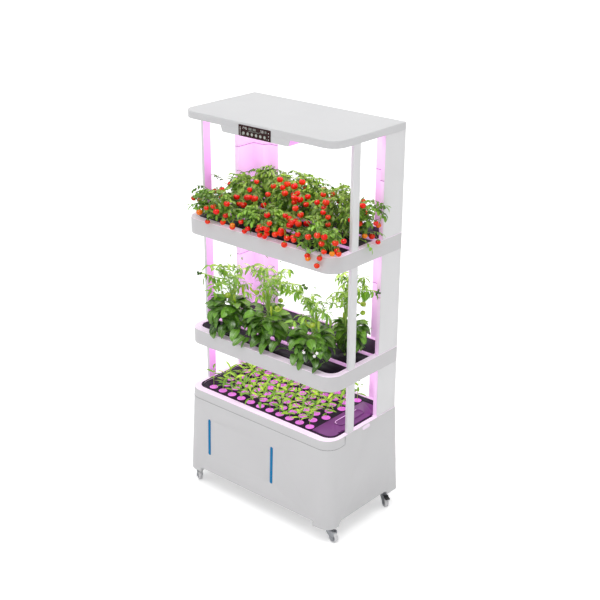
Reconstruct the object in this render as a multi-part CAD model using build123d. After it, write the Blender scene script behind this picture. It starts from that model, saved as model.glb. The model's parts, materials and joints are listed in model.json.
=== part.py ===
from build123d import *
import os
from math import atan, cos, pi, sin

# Three-tier hydroponic garden on casters, in millimetres.
# The origin is on the floor under the middle of the base; X runs right, Y back and Z up.

# Plan of the trays and the cap
tray_width = 800
tray_depth = 434
rear_line = 220
front_line = rear_line - tray_depth
front_corner = 63
rear_corner = 8
wall = 3
rim_thickness = 4
edge_bevel = 1.5

# Heights, stacked from the floor
caster_height = 64
base_height = 404
lower_bay = 217
middle_bay = 432
upper_bay = 419
tray_height = 67
cap_height = 30

base_low = caster_height
base_top = base_low + base_height
middle_low = base_top + lower_bay
middle_top = middle_low + tray_height
upper_low = middle_top + middle_bay
upper_top = upper_low + tray_height
cap_low = upper_top + upper_bay
cap_top = cap_low + cap_height

# Base casing, which flares towards the floor
base_rim_side = 3
base_rim_front = 10
flare_side = 12
flare_front = 11
flare_rear = 15
base_corner = 66
base_low_corner = 56
base_corner_steps = 7
casing_wall = 4
foot_step = 21
foot_along_front = 88
foot_along_side = 70
apron_height = 40
apron_end = front_line + 88
seam_gap = 0.5

# Well in each rim, with rear corners that step round the columns
well_half = tray_width / 2 - 25
well_front = front_line + 34
well_rear = rear_line - 17
well_corner = 42
well_step_x = tray_width / 2 - 82
well_step_slope = 13
well_wall_depth = 38
ledge_thickness = 3
fit_gap = 0.5

# Posts and columns
post_thickness = 14
post_depth = 40
post_front = front_line + 108
post_wall = 1.5
column_inset = 1.5
column_front = rear_line - 130
column_lip = 20
column_step = rear_line - 34
column_shoulder = 75
column_slope = 16
column_tail = 44
column_tail_thickness = 5
column_wall = 2.5
head_joint = 181
joint_gap = 0.6

# Growing trays
basin_depth = 42
rib_width = 24
rib_lines = (well_front + 110, well_front + 252)
plank_thickness = 4
plank_drop = 2
plank_ledge = 6
web_x = 125
web_thickness = 3
basket_radius = 25
basket_taper = 6
basket_height = 36
basket_sides = 8

# Seedling plate and its plugs
plate_thickness = 5
plate_drop = 2
plug_columns = 11
plug_rows = 7
plug_first_x = -well_half + 64
plug_last_x = tray_width / 2 - 158
plug_first_y = well_front + 23
plug_last_y = well_rear - 45
plug_pitch_x = (plug_last_x - plug_first_x) / (plug_columns - 1)
plug_pitch_y = (plug_last_y - plug_first_y) / (plug_rows - 1)
plug_radius = 17.5
plug_taper = 4.5
plug_height = 37
plug_proud = 1.5
plug_gap = 0.1
plug_sides = 6

# Access lid over the tank's filling hole
lid_left = plug_last_x + 28
lid_hinge_x = well_half - 5.5
lid_hinge_rise = 5
lid_overhang = 1.5
lid_front = well_front + 4
lid_rear = well_rear - 40
lid_thickness = 3
lid_clear = 0.3
lid_corner = 36
lid_small_corner = 6
lid_lap = 10
knuckle_radius = 3.2
knuckle_length = 14
knuckle_lines = (lid_front + 64, lid_rear - 63)
hinge_pin_radius = 1.5
hinge_clear = 0.05
ear_thickness = 4
grip_left = lid_left + 26
grip_width = 46
grip_front = lid_front + 102
grip_length = 163
grip_height = 3
grip_corner = 11
grip_border = 5
grip_dish = 2

# Water tank, pump and pipes
tank_half = tray_width / 2 - 15
tank_front = front_line + 6
tank_rear = rear_line - 8
tank_height = 338
tank_corner = 20
floor_thickness = 4
pipe_x = tray_width / 2 - 48
pipe_y = rear_line - 22
pipe_radius = 7
pipe_bore = 5.5
pipe_clear = 0.3
pump_width = 56
pump_height = 52
pump_outlet = 18
pump_slots = 5
pump_slot_pitch = 9
pump_slot_width = 4
pump_slot_depth = 3

# Level windows and the side plug
window_width = 15
window_height = 175
window_middle = 258
window_lines = (-273, 93)
window_proud = 0.8
window_flange = 2
window_lap = 6
plug_width = 49
plug_depth = 15
plug_y = 12
plug_below_rim = 12.5
plug_head = 2.5
plug_lap = 2
slot_sides = 12

# Casters, one at each corner
caster_half = tray_width / 2 - 15
caster_front = front_line + 22
caster_rear = rear_line - 42
caster_trail = 22
wheel_radius = 22
wheel_width = 18
wheel_chamfer = 2
wheel_gap = 1
wheel_sides = 32
fork_thickness = 1.5
axle_radius = 3
axle_clear = 0.06
axle_head = 2.5
crown_front = 13
crown_rear = 19
crown_drop = 9
mount_side = 42
mount_thickness = 2.5
race_radius = 13
pin_sides = 12
swivel_clear = 0.3
lever_x = 26
lever_z = 50
lever_pin = 2
lever_clear = 0.05
caster_turns = {
    "front_left": -35,
    "front_right": -4,
    "rear_left": 210,
    "rear_right": -30,
}

# Control box, display and keys
box_half = 181
box_depth = 90
box_drop = 25
box_slant = 9
box_wall = 2.5
display_half = 83
display_low = 1
display_rise = 20
display_thickness = 4
display_proud = 1
key_count = 6
key_pitch = 21.8
key_radius = 6.8
key_clear = 0.3
key_height = 15
key_proud = 2
key_flange = 1.4
key_flange_width = 1.3
key_sides = 12

# Circuit board and lamp driver
board_setback = 6
board_thickness = 1.6
switch_width = 6
supply_left = -290
supply_length = 170
supply_front = 20
supply_depth = 68
supply_height = 17
supply_fins = 6
supply_fin_pitch = 28
supply_fin_gap = 6
supply_fin_depth = 5
supply_ear = 12
supply_ear_width = 40
supply_ear_thickness = 2

# Lamps under the cap and the trays
lamp_thickness = 6
lamp_recess = 1
lamp_notch_side = 7
lamp_notch_depth = 18
bar_length = 660
bar_width = 28
bar_thickness = 2.5
bar_lines = (-110, 0, 110)

# Plants, as the outer shapes of their leaves
leaf_lift = 8
stem_width = 9
plant_sides = 8
# one row each: plank; places of the basket and of the leaves and half width of the leaves, as shares
# of the well's half width; middle and half depth of the leaves; their height over the tray
tomato_bushes = (
    ("front", -0.667, -0.699, 0.325, -150, 82, 134),
    ("front", 0, -0.021, 0.336, -150, 82, 121),
    ("front", 0.699, 0.677, 0.347, -150, 82, 129),
    ("middle", -0.600, -0.683, 0.309, 60, 122, 189),
    ("middle", -0.053, -0.053, 0.293, 60, 124, 240),
    ("middle", 0.480, 0.475, 0.229, 60, 124, 211),
    ("middle", 0.880, 0.869, 0.160, 12, 76, 174),
)
pepper_bushes = (
    ("front", -0.568, -0.592, 0.288, -140, 90, 178),
    ("front", -0.027, -0.016, 0.277, -136, 92, 193),
    ("front", 0.640, 0.619, 0.299, -140, 90, 173),
    ("middle", 0.779, 0.773, 0.224, 34, 80, 178),
)
# heights over the tray of the young shoots on top of each pepper plant
pepper_shoots = (293, 333, 278, 333)
shoot_share = 0.75

# Seedlings
seedling_height = 36
seedling_variation = 8
seedling_reach = 22
seedling_spread = 5


def rounded_plan(width, front, rear, front_radius, rear_radius):
    """Rectangle in plan with its own corner radii at the front and the rear."""
    outline = Pos(0, (front + rear) / 2) * Rectangle(width, rear - front)
    outline = fillet(outline.vertices().sort_by(Axis.Y)[:2], front_radius)
    return fillet(outline.vertices().sort_by(Axis.Y)[-2:], rear_radius)


def raised(sketch, low, high):
    """Straight solid on a plan, between two heights."""
    return extrude(Pos(0, 0, low) * sketch, high - low)


def block(x_low, x_high, y_low, y_high, z_low, z_high):
    """Box between its two corners."""
    middle = Pos((x_low + x_high) / 2, (y_low + y_high) / 2, (z_low + z_high) / 2)
    return middle * Box(x_high - x_low, y_high - y_low, z_high - z_low)


def polygon(points):
    """Face on a closed outline of points."""
    return make_face(Polyline(*points, close=True))


def closed_solid(faces):
    """Solid from the corner points of its flat faces."""
    return Solid(Shell([Face(Wire.make_polygon(points, close=True)) for points in faces]))


def stacked_solid(rings):
    """Solid through rings of points, one above the other, with as many points each."""
    faces = [rings[0][::-1], rings[-1]]
    count = len(rings[0])
    for under, over in zip(rings, rings[1:]):
        for index in range(count):
            after = (index + 1) % count
            faces.append([under[index], under[after], over[after], over[index]])
    return closed_solid(faces)


def bevelled(width, depth, bevel):
    """Rectangle with its corners cut off."""
    outline = Rectangle(width, depth)
    return chamfer(outline.vertices(), bevel)


def mirrored(shape):
    """Shape and its mirror image across the middle plane."""
    return shape + shape.mirror(Plane.YZ)


def slot_plan(length, width):
    """Bar in plan with rounded ends, each of a few flats."""
    half = length / 2 - width / 2
    steps = slot_sides // 2
    points = []
    for side, start in ((1, -pi / 2), (-1, pi / 2)):
        for step in range(steps + 1):
            angle = start + pi * step / steps
            points.append((side * half + width / 2 * cos(angle), width / 2 * sin(angle)))
    return polygon(points)


def tray_plan(inset=0):
    """Plan of a tray or the cap, drawn in by inset."""
    return rounded_plan(
        tray_width - 2 * inset,
        front_line + inset,
        rear_line - inset,
        front_corner - inset,
        rear_corner - inset,
    )


def column_plan(inset=0):
    """Plan of the right column: a lip, a long side, a shoulder and a thin tail at the rear."""
    right = tray_width / 2 - column_inset
    rear = rear_line - 2 * column_inset
    lip = right - column_lip
    shoulder = right - column_shoulder
    slope_end = shoulder - column_slope
    tail_front = rear - column_tail_thickness
    points = [
        (right, column_front),
        (right, rear),
        (slope_end - column_tail, rear),
        (slope_end - column_tail, tail_front),
        (slope_end, tail_front),
        (shoulder, column_step),
        (lip, column_step),
        (lip, column_front),
    ]
    outline = polygon(points)
    if inset:
        outline = offset(outline, -inset, kind=Kind.INTERSECTION)
    return outline


def column_bore():
    """Hollow inside the right column, in front of which the thin tail is solid."""
    right = tray_width / 2 - column_inset - column_wall
    rear = rear_line - 2 * column_inset - column_wall
    lip = right - column_lip + 2 * column_wall
    shoulder = right - column_shoulder + 2 * column_wall
    points = [
        (right, column_front + column_wall),
        (right, rear),
        (shoulder, rear),
        (shoulder, column_step + column_wall),
        (lip, column_step + column_wall),
        (lip, column_front + column_wall),
    ]
    return polygon(points)


def post_plan(inset=0):
    """Plan of the right front post."""
    outline = Rectangle(post_thickness - 2 * inset, post_depth - 2 * inset)
    return Pos(tray_width / 2 - post_thickness / 2, post_front + post_depth / 2) * outline


def well_plan(inset=0):
    """Plan of the well in a rim, drawn in by inset."""
    step_y = column_step - 6
    points = [
        (-well_half, well_front),
        (well_half, well_front),
        (well_half, step_y),
        (well_step_x, step_y),
        (well_step_x - well_step_slope, well_rear),
        (-well_step_x + well_step_slope, well_rear),
        (-well_step_x, step_y),
        (-well_half, step_y),
    ]
    outline = polygon(points)
    if inset:
        outline = offset(outline, -inset, kind=Kind.INTERSECTION)
    return fillet(outline.vertices().sort_by(Axis.Y)[:2], well_corner - inset)


def support_rails(spans, top):
    """Rails along X just under a cover, at the front and the rear of each span of the well."""
    rails = []
    for front, rear in spans:
        half = well_half - well_corner
        rails.append(block(-half, half, front - wall / 2, front + plank_ledge, top - ledge_thickness, top))
        half = well_step_x - well_step_slope
        rails.append(block(-half, half, rear - plank_ledge, rear + wall / 2, top - ledge_thickness, top))
    return rails


def pipe_holes(low, high):
    """Holes for the two pipes, through both rear corners of a rim."""
    hole = Pos(pipe_x, pipe_y) * pipe_section(pipe_radius + 1)
    return mirrored(raised(hole, low, high))


# Base casing: a moulded box that flares to the floor, on four corner feet

def base_share(z):
    """Share of the flare at height z: 0 at the rim and 1 at the feet."""
    return (base_top - z) / base_height


def base_side(z):
    return tray_width / 2 + base_rim_side + flare_side * base_share(z)


def base_front(z):
    return front_line - base_rim_front - flare_front * base_share(z)


def base_rear(z):
    return rear_line + flare_rear * base_share(z)


def base_ring(z, inset=0):
    """Points round the base at height z, drawn in by inset, with stepped arcs at the corners."""
    front_radius = base_corner + (base_low_corner - base_corner) * base_share(z) - inset
    rear_radius = rear_corner - min(inset, rear_corner - 1)
    right = base_side(z) - inset
    front = base_front(z) + inset
    rear = base_rear(z) - inset
    corners = (
        (right, front, front_radius, 1, -1, base_corner_steps),
        (right, rear, rear_radius, 1, 1, 2),
        (-right, rear, rear_radius, -1, 1, 2),
        (-right, front, front_radius, -1, -1, base_corner_steps),
    )
    points = []
    for quarter, (x, y, radius, side, end, steps) in enumerate(corners):
        for step in range(steps + 1):
            angle = pi / 2 * (quarter - 1 + step / steps)
            centre_x = x - side * radius
            centre_y = y - end * radius
            points.append((centre_x + radius * cos(angle), centre_y + radius * sin(angle), z))
    return points


def base_form(low, high, inset=0):
    """Flared solid of the base between two heights."""
    return stacked_solid([base_ring(low, inset), base_ring(high, inset)])


def apron_zone(margin):
    """Space of the collar's apron: the front band below the rim, round both front corners."""
    seam = base_top - apron_height
    half = base_side(base_low) + 10
    return block(-half, half, base_front(base_low) - 10, apron_end - margin, seam + margin, base_top)


def front_face(x, z):
    """Plane on the leaning front of the casing, facing out."""
    lean = atan(flare_front / base_height)
    return Plane(origin=(x, base_front(z), z), x_dir=(1, 0, 0), z_dir=(0, -cos(lean), sin(lean)))


def side_face(y, z):
    """Plane on the leaning right side of the casing, facing out."""
    lean = atan(flare_side / base_height)
    return Plane(origin=(base_side(z), y, z), x_dir=(0, 1, 0), z_dir=(cos(lean), 0, sin(lean)))


def slot_in(plane, length, width, low, high, turn=0):
    """Round-ended bar standing on a plane from low to high along its normal."""
    outline = Pos(0, 0, low) * Rot(0, 0, turn) * slot_plan(length, width)
    return extrude(plane * outline, high - low)


def plug_face():
    return side_face(plug_y, base_top - plug_below_rim)


def casing_top():
    return base_top - rim_thickness


def foot_arches():
    """Space under the skirt between the feet, along the front, the rear and both sides."""
    low = base_low - 1
    high = base_low + foot_step
    half = base_side(base_low) - foot_along_front
    along_front = block(-half, half, base_front(base_low) - 10, base_rear(base_low) + 10, low, high)
    front = base_front(base_low) + foot_along_side
    rear = base_rear(base_low) - foot_along_side
    side = Pos(0, (front + rear) / 2, (low + high) / 2) * Box(2 * tray_width, rear - front, high - low)
    top_edges = side.edges().filter_by(Axis.X).group_by(Axis.Z)[-1]
    return along_front + fillet(top_edges, foot_step - 1)


def base_casing():
    casing = base_form(base_low, casing_top())
    casing -= base_form(base_low - 1, casing_top() + 1, casing_wall)
    casing -= foot_arches()
    casing -= apron_zone(-seam_gap / 2)
    for x in window_lines:
        face = front_face(x, window_middle)
        casing -= slot_in(face, window_height, window_width, -2 * casing_wall, casing_wall, 90)
    length = plug_width - 2 * plug_lap
    casing -= slot_in(plug_face(), length, plug_depth - 2 * plug_lap, -2 * casing_wall, casing_wall)
    return casing


def base_collar():
    """Rim round the seedling well, with the apron that covers the front of the casing."""
    rim = base_form(casing_top(), base_top)
    rim = chamfer(rim.edges().group_by(Axis.Z)[-1], edge_bevel)
    shell = base_form(base_top - apron_height, casing_top())
    shell -= base_form(base_top - apron_height - 1, casing_top() + 1, casing_wall)
    collar = rim + (shell & apron_zone(seam_gap / 2))
    collar += raised(well_plan(-wall), base_top - well_wall_depth, base_top)
    collar -= raised(well_plan(), base_top - well_wall_depth - 1, base_top + 1)
    for rail in support_rails([(well_front, well_rear)], base_top - plate_drop - plate_thickness):
        collar += rail
    return collar - pipe_holes(casing_top() - 1, base_top + 1)


def base_floor():
    """Bottom panel, dropped at each corner to a pad that carries a caster."""
    inset = casing_wall + fit_gap
    low = base_low + foot_step + fit_gap
    panel = base_form(low, low + floor_thickness, inset)
    pads = base_form(base_low, low, inset)
    half = base_side(base_low) - foot_along_front + 5
    front = base_front(base_low) + foot_along_side - 5
    rear = base_rear(base_low) - foot_along_side + 5
    pads -= block(-half, half, front - tray_depth, rear + tray_depth, base_low - 1, low)
    pads -= block(-tray_width, tray_width, front, rear, base_low - 1, low)
    return panel + pads


def floor_level():
    return base_low + foot_step + fit_gap + floor_thickness


def water_tank():
    """Open blow-moulded tank that stands on the base floor."""
    low = floor_level()
    middle = Pos(0, (tank_front + tank_rear) / 2)
    outline = middle * bevelled(2 * tank_half, tank_rear - tank_front, tank_corner)
    inner = offset(outline, -wall, kind=Kind.INTERSECTION)
    return raised(outline, low, low + tank_height) - raised(inner, low + wall, low + tank_height + 1)


def level_windows():
    """Two clear strips in the front that show how full the tank is."""
    windows = []
    for x in window_lines:
        face = front_face(x, window_middle)
        length = window_height - fit_gap
        width = window_width - fit_gap
        pane = slot_in(face, length, width, -casing_wall - 1, window_proud, 90)
        border = bevelled(width + 2 * window_lap, length + 2 * window_lap, window_lap)
        flange = extrude(face * Pos(0, 0, -casing_wall - window_flange) * border, window_flange - 0.02)
        windows.append(pane + flange)
    return windows


def side_plug():
    """Oval cap that closes the overflow port under the rim on the right side."""
    length = plug_width - 2 * plug_lap - fit_gap
    head = slot_in(plug_face(), plug_width, plug_depth, 0.02, plug_head)
    return head + slot_in(plug_face(), length, plug_depth - 2 * plug_lap - fit_gap, -casing_wall, 1)


# Seedling plate with 74 plugs in seven staggered rows

def plug_places():
    """Centres of the plugs: rows of eleven, with rows of ten between them."""
    places = []
    for row in range(plug_rows):
        shift = row % 2
        for column in range(plug_columns - shift):
            x = plug_first_x + (column + shift / 2) * plug_pitch_x
            places.append((x, plug_first_y + row * plug_pitch_y))
    return places


def plate_top():
    return base_top - plate_drop


def hinge_z():
    return plate_top() + lid_hinge_rise


def hinge_ears():
    """Pairs of ears on the plate, one each side of every lid knuckle."""
    ears = []
    for middle in knuckle_lines:
        for side in (-1, 1):
            near = middle + side * (knuckle_length / 2 + fit_gap)
            far = near + side * ear_thickness
            ears.append(
                block(
                    lid_hinge_x - knuckle_radius,
                    lid_hinge_x + knuckle_radius,
                    min(near, far),
                    max(near, far),
                    plate_top() - 1,
                    hinge_z() + knuckle_radius,
                )
            )
    return ears


def pivot(radius, length, y):
    """Twelve-sided bar along Y on the lid's hinge line."""
    bar = extrude(RegularPolygon(radius, pin_sides), length / 2, both=True)
    return Pos(lid_hinge_x, y, hinge_z()) * Rot(90, 0, 0) * bar


def seedling_plate():
    low = plate_top() - plate_thickness
    plan = well_plan(fit_gap)
    hole = RegularPolygon(plug_radius, plug_sides, rotation=180 / plug_sides)
    plan -= [Pos(x, y) * hole for x, y in plug_places()]
    left = lid_left + lid_lap
    right = lid_hinge_x - lid_lap
    front = lid_front + lid_lap
    rear = lid_rear - lid_lap
    filling_hole = rounded_plan(right - left, front, rear, lid_corner - lid_lap, lid_small_corner)
    plan -= Pos((left + right) / 2, 0) * filling_hole
    plate = raised(plan, low, plate_top())
    for ear in hinge_ears():
        plate += ear
    pin_length = knuckle_length + 2 * ear_thickness + 2 * fit_gap + 2
    for y in knuckle_lines:
        plate -= pivot(hinge_pin_radius + hinge_clear, pin_length, y)
    return plate


def taper_plug(seat, seat_radius, proud, height, taper, sides):
    """Tapered plug whose side meets the edge of its hole at the seat."""
    high_radius = seat_radius + proud * taper / height
    rings = []
    for radius, z in ((high_radius - taper, seat + proud - height), (high_radius, seat + proud)):
        angles = [2 * pi * (index + 0.5) / sides for index in range(sides)]
        rings.append([(radius * cos(angle), radius * sin(angle), z) for angle in angles])
    return stacked_solid(rings)


def seedling_cups():
    radius = plug_radius - plug_gap
    first = taper_plug(plate_top(), radius, plug_proud, plug_height, plug_taper, plug_sides)
    return [Pos(x, y) * first for x, y in plug_places()]


# Access lid, hinged along the right edge of the well

def access_lid():
    low = plate_top() + lid_clear
    width = lid_hinge_x + lid_overhang - lid_left
    middle = Pos(lid_left + width / 2, (lid_front + lid_rear) / 2)
    outline = middle * Rectangle(width, lid_rear - lid_front)
    right_front = outline.vertices().sort_by(Axis.Y)[:2].sort_by(Axis.X)[-1]
    outline = fillet(right_front, lid_corner)
    outline = fillet(outline.vertices().sort_by(Axis.X)[:2], lid_small_corner)
    lid = raised(outline, low, low + lid_thickness)
    ear_room = ear_thickness + fit_gap
    for y in knuckle_lines:
        for side in (-1, 1):
            near = y + side * knuckle_length / 2
            far = near + side * (ear_room + fit_gap)
            edge = lid_hinge_x - knuckle_radius - 2 * fit_gap
            lid -= block(edge, lid_hinge_x + 5, min(near, far), max(near, far), low - 1, low + 9)
        lid += pivot(knuckle_radius, knuckle_length, y) & block(
            lid_left, lid_hinge_x + 5, y - knuckle_length, y + knuckle_length, low, low + 20
        )
        lid += pivot(hinge_pin_radius, knuckle_length + 2 * ear_room, y)
    grip = bevelled(grip_width, grip_length, grip_corner)
    dish = offset(grip, -grip_border, kind=Kind.INTERSECTION)
    seat = low + lid_thickness
    place = Pos(grip_left + grip_width / 2, grip_front + grip_length / 2)
    lid += raised(place * grip, seat, seat + grip_height)
    return lid - raised(place * dish, seat + grip_height - grip_dish, seat + grip_height + 1)


# Pump in the tank, riser up the right column and drains down the left one

def tube(points):
    """Pipe along straight runs with mitred elbows."""
    path = Polyline(*points)
    start = Plane(origin=path @ 0, z_dir=path % 0)
    section = start * (pipe_section(pipe_radius) - pipe_section(pipe_bore))
    return sweep(section, path, transition=Transition.RIGHT)


def basin_floor(top):
    return top - basin_depth


def port_inner():
    """How far a pipe reaches into a basin through its stepped corner."""
    return column_step - 6 - 4


def riser_port():
    return basin_floor(upper_top) + 24


def drain_port(top):
    return basin_floor(top) + 9


def return_port():
    return basin_floor(middle_top) + 27


def water_pump():
    """Submersible pump on the tank floor, with its outlet under the riser."""
    low = floor_level() + wall
    middle_x = pipe_x - pump_width / 2 + 2 * pipe_radius
    middle_y = pipe_y - pump_width / 2 + pipe_radius + 2
    body = raised(Pos(middle_x, middle_y) * bevelled(pump_width, pump_width, 5), low, low + pump_height)
    left = middle_x - pump_width / 2
    for index in range(pump_slots):
        y = middle_y + (index - (pump_slots - 1) / 2) * pump_slot_pitch - pump_slot_width / 2
        high = low + pump_height - 12
        body -= block(left - 1, left + pump_slot_depth, y, y + pump_slot_width, low + 8, high)
    nipple = Pos(pipe_x, pipe_y) * pipe_section(pipe_bore - pipe_clear)
    return body + raised(nipple, low + pump_height - 1, low + pump_height + pump_outlet)


def riser_pipe():
    start = floor_level() + wall + pump_height + fit_gap
    high = riser_port()
    return tube([(pipe_x, pipe_y, start), (pipe_x, pipe_y, high), (pipe_x, port_inner(), high)])


def drain_pipe():
    """Upper tray to middle tray, and middle tray to tank."""
    high = drain_port(upper_top)
    back = return_port()
    low = drain_port(middle_top)
    upper = tube(
        [
            (-pipe_x, port_inner(), high),
            (-pipe_x, pipe_y, high),
            (-pipe_x, pipe_y, back),
            (-pipe_x, port_inner(), back),
        ]
    )
    lower = tube([(-pipe_x, port_inner(), low), (-pipe_x, pipe_y, low), (-pipe_x, pipe_y, base_top - 90)])
    return [upper, lower]


def pipe_port(x, z):
    """Hole for a pipe end through a basin's stepped corner."""
    hole = extrude(pipe_section(pipe_radius + pipe_clear), 12, both=True)
    return Pos(x, pipe_y - 12, z) * Rot(90, 0, 0) * hole


# Trays and cap: shells that the posts and columns stand on

def pipe_section(radius):
    """Twelve-sided section of a pipe or of its hole."""
    return RegularPolygon(radius, pin_sides, rotation=180 / pin_sides)


def pad_plans():
    """Plans of the seats for posts and columns under a shell."""
    return mirrored(post_plan(-1)) + mirrored(column_plan() - column_bore())


def shell_body(low, height):
    """Moulded shell, open below, with seats for posts and columns in it."""
    body = raised(tray_plan(), low, low + height)
    body = chamfer(body.edges().group_by(Axis.Z)[-1], edge_bevel)
    hollow = tray_plan(wall) - pad_plans()
    return body - raised(hollow, low - 1, low + height - rim_thickness)


def pocket_spans():
    """Front and rear of the three long pockets, between and beside the two ribs of a well."""
    half = rib_width / 2
    fronts = [well_front] + [y + half for y in rib_lines]
    rears = [y - half for y in rib_lines] + [well_rear]
    return list(zip(fronts, rears))


def plank_plans():
    """Plans of the three planks, clear of the ribs and of the well's edge."""
    plans = []
    for front, rear in pocket_spans():
        strip = Pos(0, (front + rear) / 2) * Rectangle(3 * well_half, rear - front - 2 * fit_gap)
        plans.append(well_plan(fit_gap) & strip)
    return plans


def tray(low, ports):
    """Growing tray: shell, basin, two long ribs between the planks and ledges under them."""
    top = low + tray_height
    floor = basin_floor(top)
    body = shell_body(low, tray_height)
    body += raised(well_plan(-wall), floor - wall, top)
    body -= raised(well_plan(), floor, top + 1)
    for y in rib_lines:
        front = y - rib_width / 2
        rear = y + rib_width / 2
        rib = block(-well_half - 1, well_half + 1, front, rear, floor - 1, top - 0.5)
        half = well_half - wall
        hollow = block(-half, half, front + wall, rear - wall, floor - wall - 1, top - rim_thickness)
        body = body + rib - hollow
    for rail in support_rails(pocket_spans(), top - plank_drop - plank_thickness):
        body += rail
    lamp_top = low + lamp_recess + lamp_thickness
    left = web_x - web_thickness / 2
    body += mirrored(block(left, left + web_thickness, front_line + 1, rear_line - 1, lamp_top, floor - 1))
    for x, z in ports:
        body -= pipe_port(x, z)
    return body - pipe_holes(top - rim_thickness - 1, top + 1)


def basket_places(bushes):
    """Centre of each planting basket, in the middle of its plank."""
    middles = [(front + rear) / 2 for front, rear in pocket_spans()]
    lines = dict(zip(("front", "middle", "rear"), middles))
    return [(bush[1] * well_half, lines[bush[0]]) for bush in bushes]


def planks(top, bushes):
    """Three planks that cover the basin, with holes for the baskets."""
    high = top - plank_drop
    hole = RegularPolygon(basket_radius, basket_sides, rotation=180 / basket_sides)
    holes = [Pos(x, y) * hole for x, y in basket_places(bushes)]
    return [raised(plan - holes, high - plank_thickness, high) for plan in plank_plans()]


def baskets(top, bushes):
    """Tapered planting baskets with their growing medium."""
    radius = basket_radius - plug_gap
    first = taper_plug(top - plank_drop, radius, 1, basket_height, basket_taper, basket_sides)
    return [Pos(x, y) * first for x, y in basket_places(bushes)]


def lamp_panel(low, notch=None):
    """Lamp panel that closes a shell from below, cut round the posts and columns."""
    plan = tray_plan(wall + fit_gap) - mirrored(post_plan(-1 - fit_gap)) - mirrored(column_plan(-fit_gap))
    panel = raised(plan, low + lamp_recess, low + lamp_recess + lamp_thickness)
    return panel - notch if notch else panel


def light_bars(low):
    """Three diffuser bars on the underside of a lamp panel."""
    bars = []
    for y in bar_lines:
        bar = Pos(0, y) * bevelled(bar_length, bar_width, 6)
        bars.append(raised(bar, low + lamp_recess - bar_thickness, low + lamp_recess))
    return bars


def top_cap():
    """Cap over the upper bay, notched at the front for the display."""
    cap = shell_body(cap_low, cap_height)
    half = display_half + fit_gap
    high = cap_low + display_rise + fit_gap
    return cap - block(-half, half, front_line - 1, front_line + 2 * wall, cap_low - 1, high)


# Posts and columns between the tiers

bays = ((base_top, middle_low), (middle_top, upper_low), (upper_top, cap_low))


def front_post(side):
    """Three hollow posts, one in each bay."""
    ring = post_plan() - post_plan(post_wall)
    posts = [raised(ring, low, high) for low, high in bays]
    return posts if side > 0 else [post.mirror(Plane.YZ) for post in posts]


def column_skin(outer):
    """Section of the column's outer cover, or of the liner that faces the plants."""
    right = tray_width / 2 - column_inset
    rear = rear_line - 2 * column_inset
    ring = column_plan() - column_bore()
    side_strip = Pos(right, rear_line / 2) * Rectangle(2 * column_wall, 2 * tray_depth)
    rear_strip = Pos(right / 2, rear) * Rectangle(tray_width, 2 * column_wall)
    if outer:
        return ring & (side_strip + rear_strip)
    gap = column_wall + 0.1
    side_gap = Pos(right, rear_line / 2) * Rectangle(2 * gap, 2 * tray_depth)
    rear_gap = Pos(right / 2, rear) * Rectangle(tray_width, 2 * gap)
    return ring - side_gap - rear_gap


def column_cover(side):
    skin = column_skin(True)
    covers = [raised(skin, low, high) for low, high in bays]
    return covers if side > 0 else [cover.mirror(Plane.YZ) for cover in covers]


def column_liner(side):
    """Inner liners; the two tall ones have a head piece that meets them at a joint."""
    skin = column_skin(False)
    liners = [raised(skin, *bays[0])]
    for low, high in bays[1:]:
        joint = high - head_joint
        liners.append(raised(skin, low, joint - joint_gap / 2))
        liners.append(raised(skin, joint + joint_gap / 2, high))
    return liners if side > 0 else [liner.mirror(Plane.YZ) for liner in liners]


# Control box under the front of the cap

def display_box(margin):
    """Outline of the display in the front face, grown by margin."""
    half = display_half + margin
    low = cap_low - box_drop + display_low - margin
    return -half, half, low, cap_low + display_rise + margin


def control_box():
    low = cap_low - box_drop
    points = [
        (-box_half, cap_low),
        (-box_half + box_slant, low),
        (box_half - box_slant, low),
        (box_half, cap_low),
    ]
    outline = fillet(polygon(points).vertices().sort_by(Axis.Y)[:2], 6)
    middle = front_line + box_depth / 2
    body = Pos(0, middle) * Rot(90, 0, 0) * extrude(outline, box_depth / 2, both=True)
    inner = offset(outline, -box_wall, kind=Kind.INTERSECTION)
    cut = Pos(0, middle) * Rot(90, 0, 0) * extrude(inner, box_depth / 2 - box_wall, both=True)
    body -= cut
    half = box_half - box_wall - 1
    rear = front_line + box_depth - box_wall
    body -= block(-half, half, front_line + box_wall, rear, cap_low - box_wall - 1, cap_low + 1)
    left, right, bottom = display_box(fit_gap)[:3]
    return body - block(left, right, front_line - 1, display_back() + 0.05, bottom, cap_low + 1)


def key_x(index):
    return (index - (key_count - 1) / 2) * key_pitch


def key_z():
    return cap_low - box_drop + key_height


def key_bar(index, radius, near, far):
    """Twelve-sided bar along Y at a key's place, between two depths."""
    outline = RegularPolygon(radius, key_sides, rotation=180 / key_sides)
    bar = Rot(90, 0, 0) * extrude(outline, -(far - near))
    return Pos(key_x(index), near, key_z()) * bar


def display_back():
    return front_line - display_proud + display_thickness


def display_window():
    left, right, bottom, top = display_box(0)
    panel = block(left, right, front_line - display_proud, display_back(), bottom, top)
    panel = chamfer(panel.edges().filter_by(Axis.Y), edge_bevel)
    for index in range(key_count):
        panel -= key_bar(index, key_radius + key_clear, front_line - 2 * wall, display_back() + 1)
    return panel


def panel_key(index):
    """Round key with a flange that holds it behind the display."""
    face = front_line - display_proud - key_proud
    flange_front = display_back() + 0.05
    key = key_bar(index, key_radius, face, flange_front + 0.5)
    return key + key_bar(index, key_radius + key_flange_width, flange_front, flange_front + key_flange)


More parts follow.
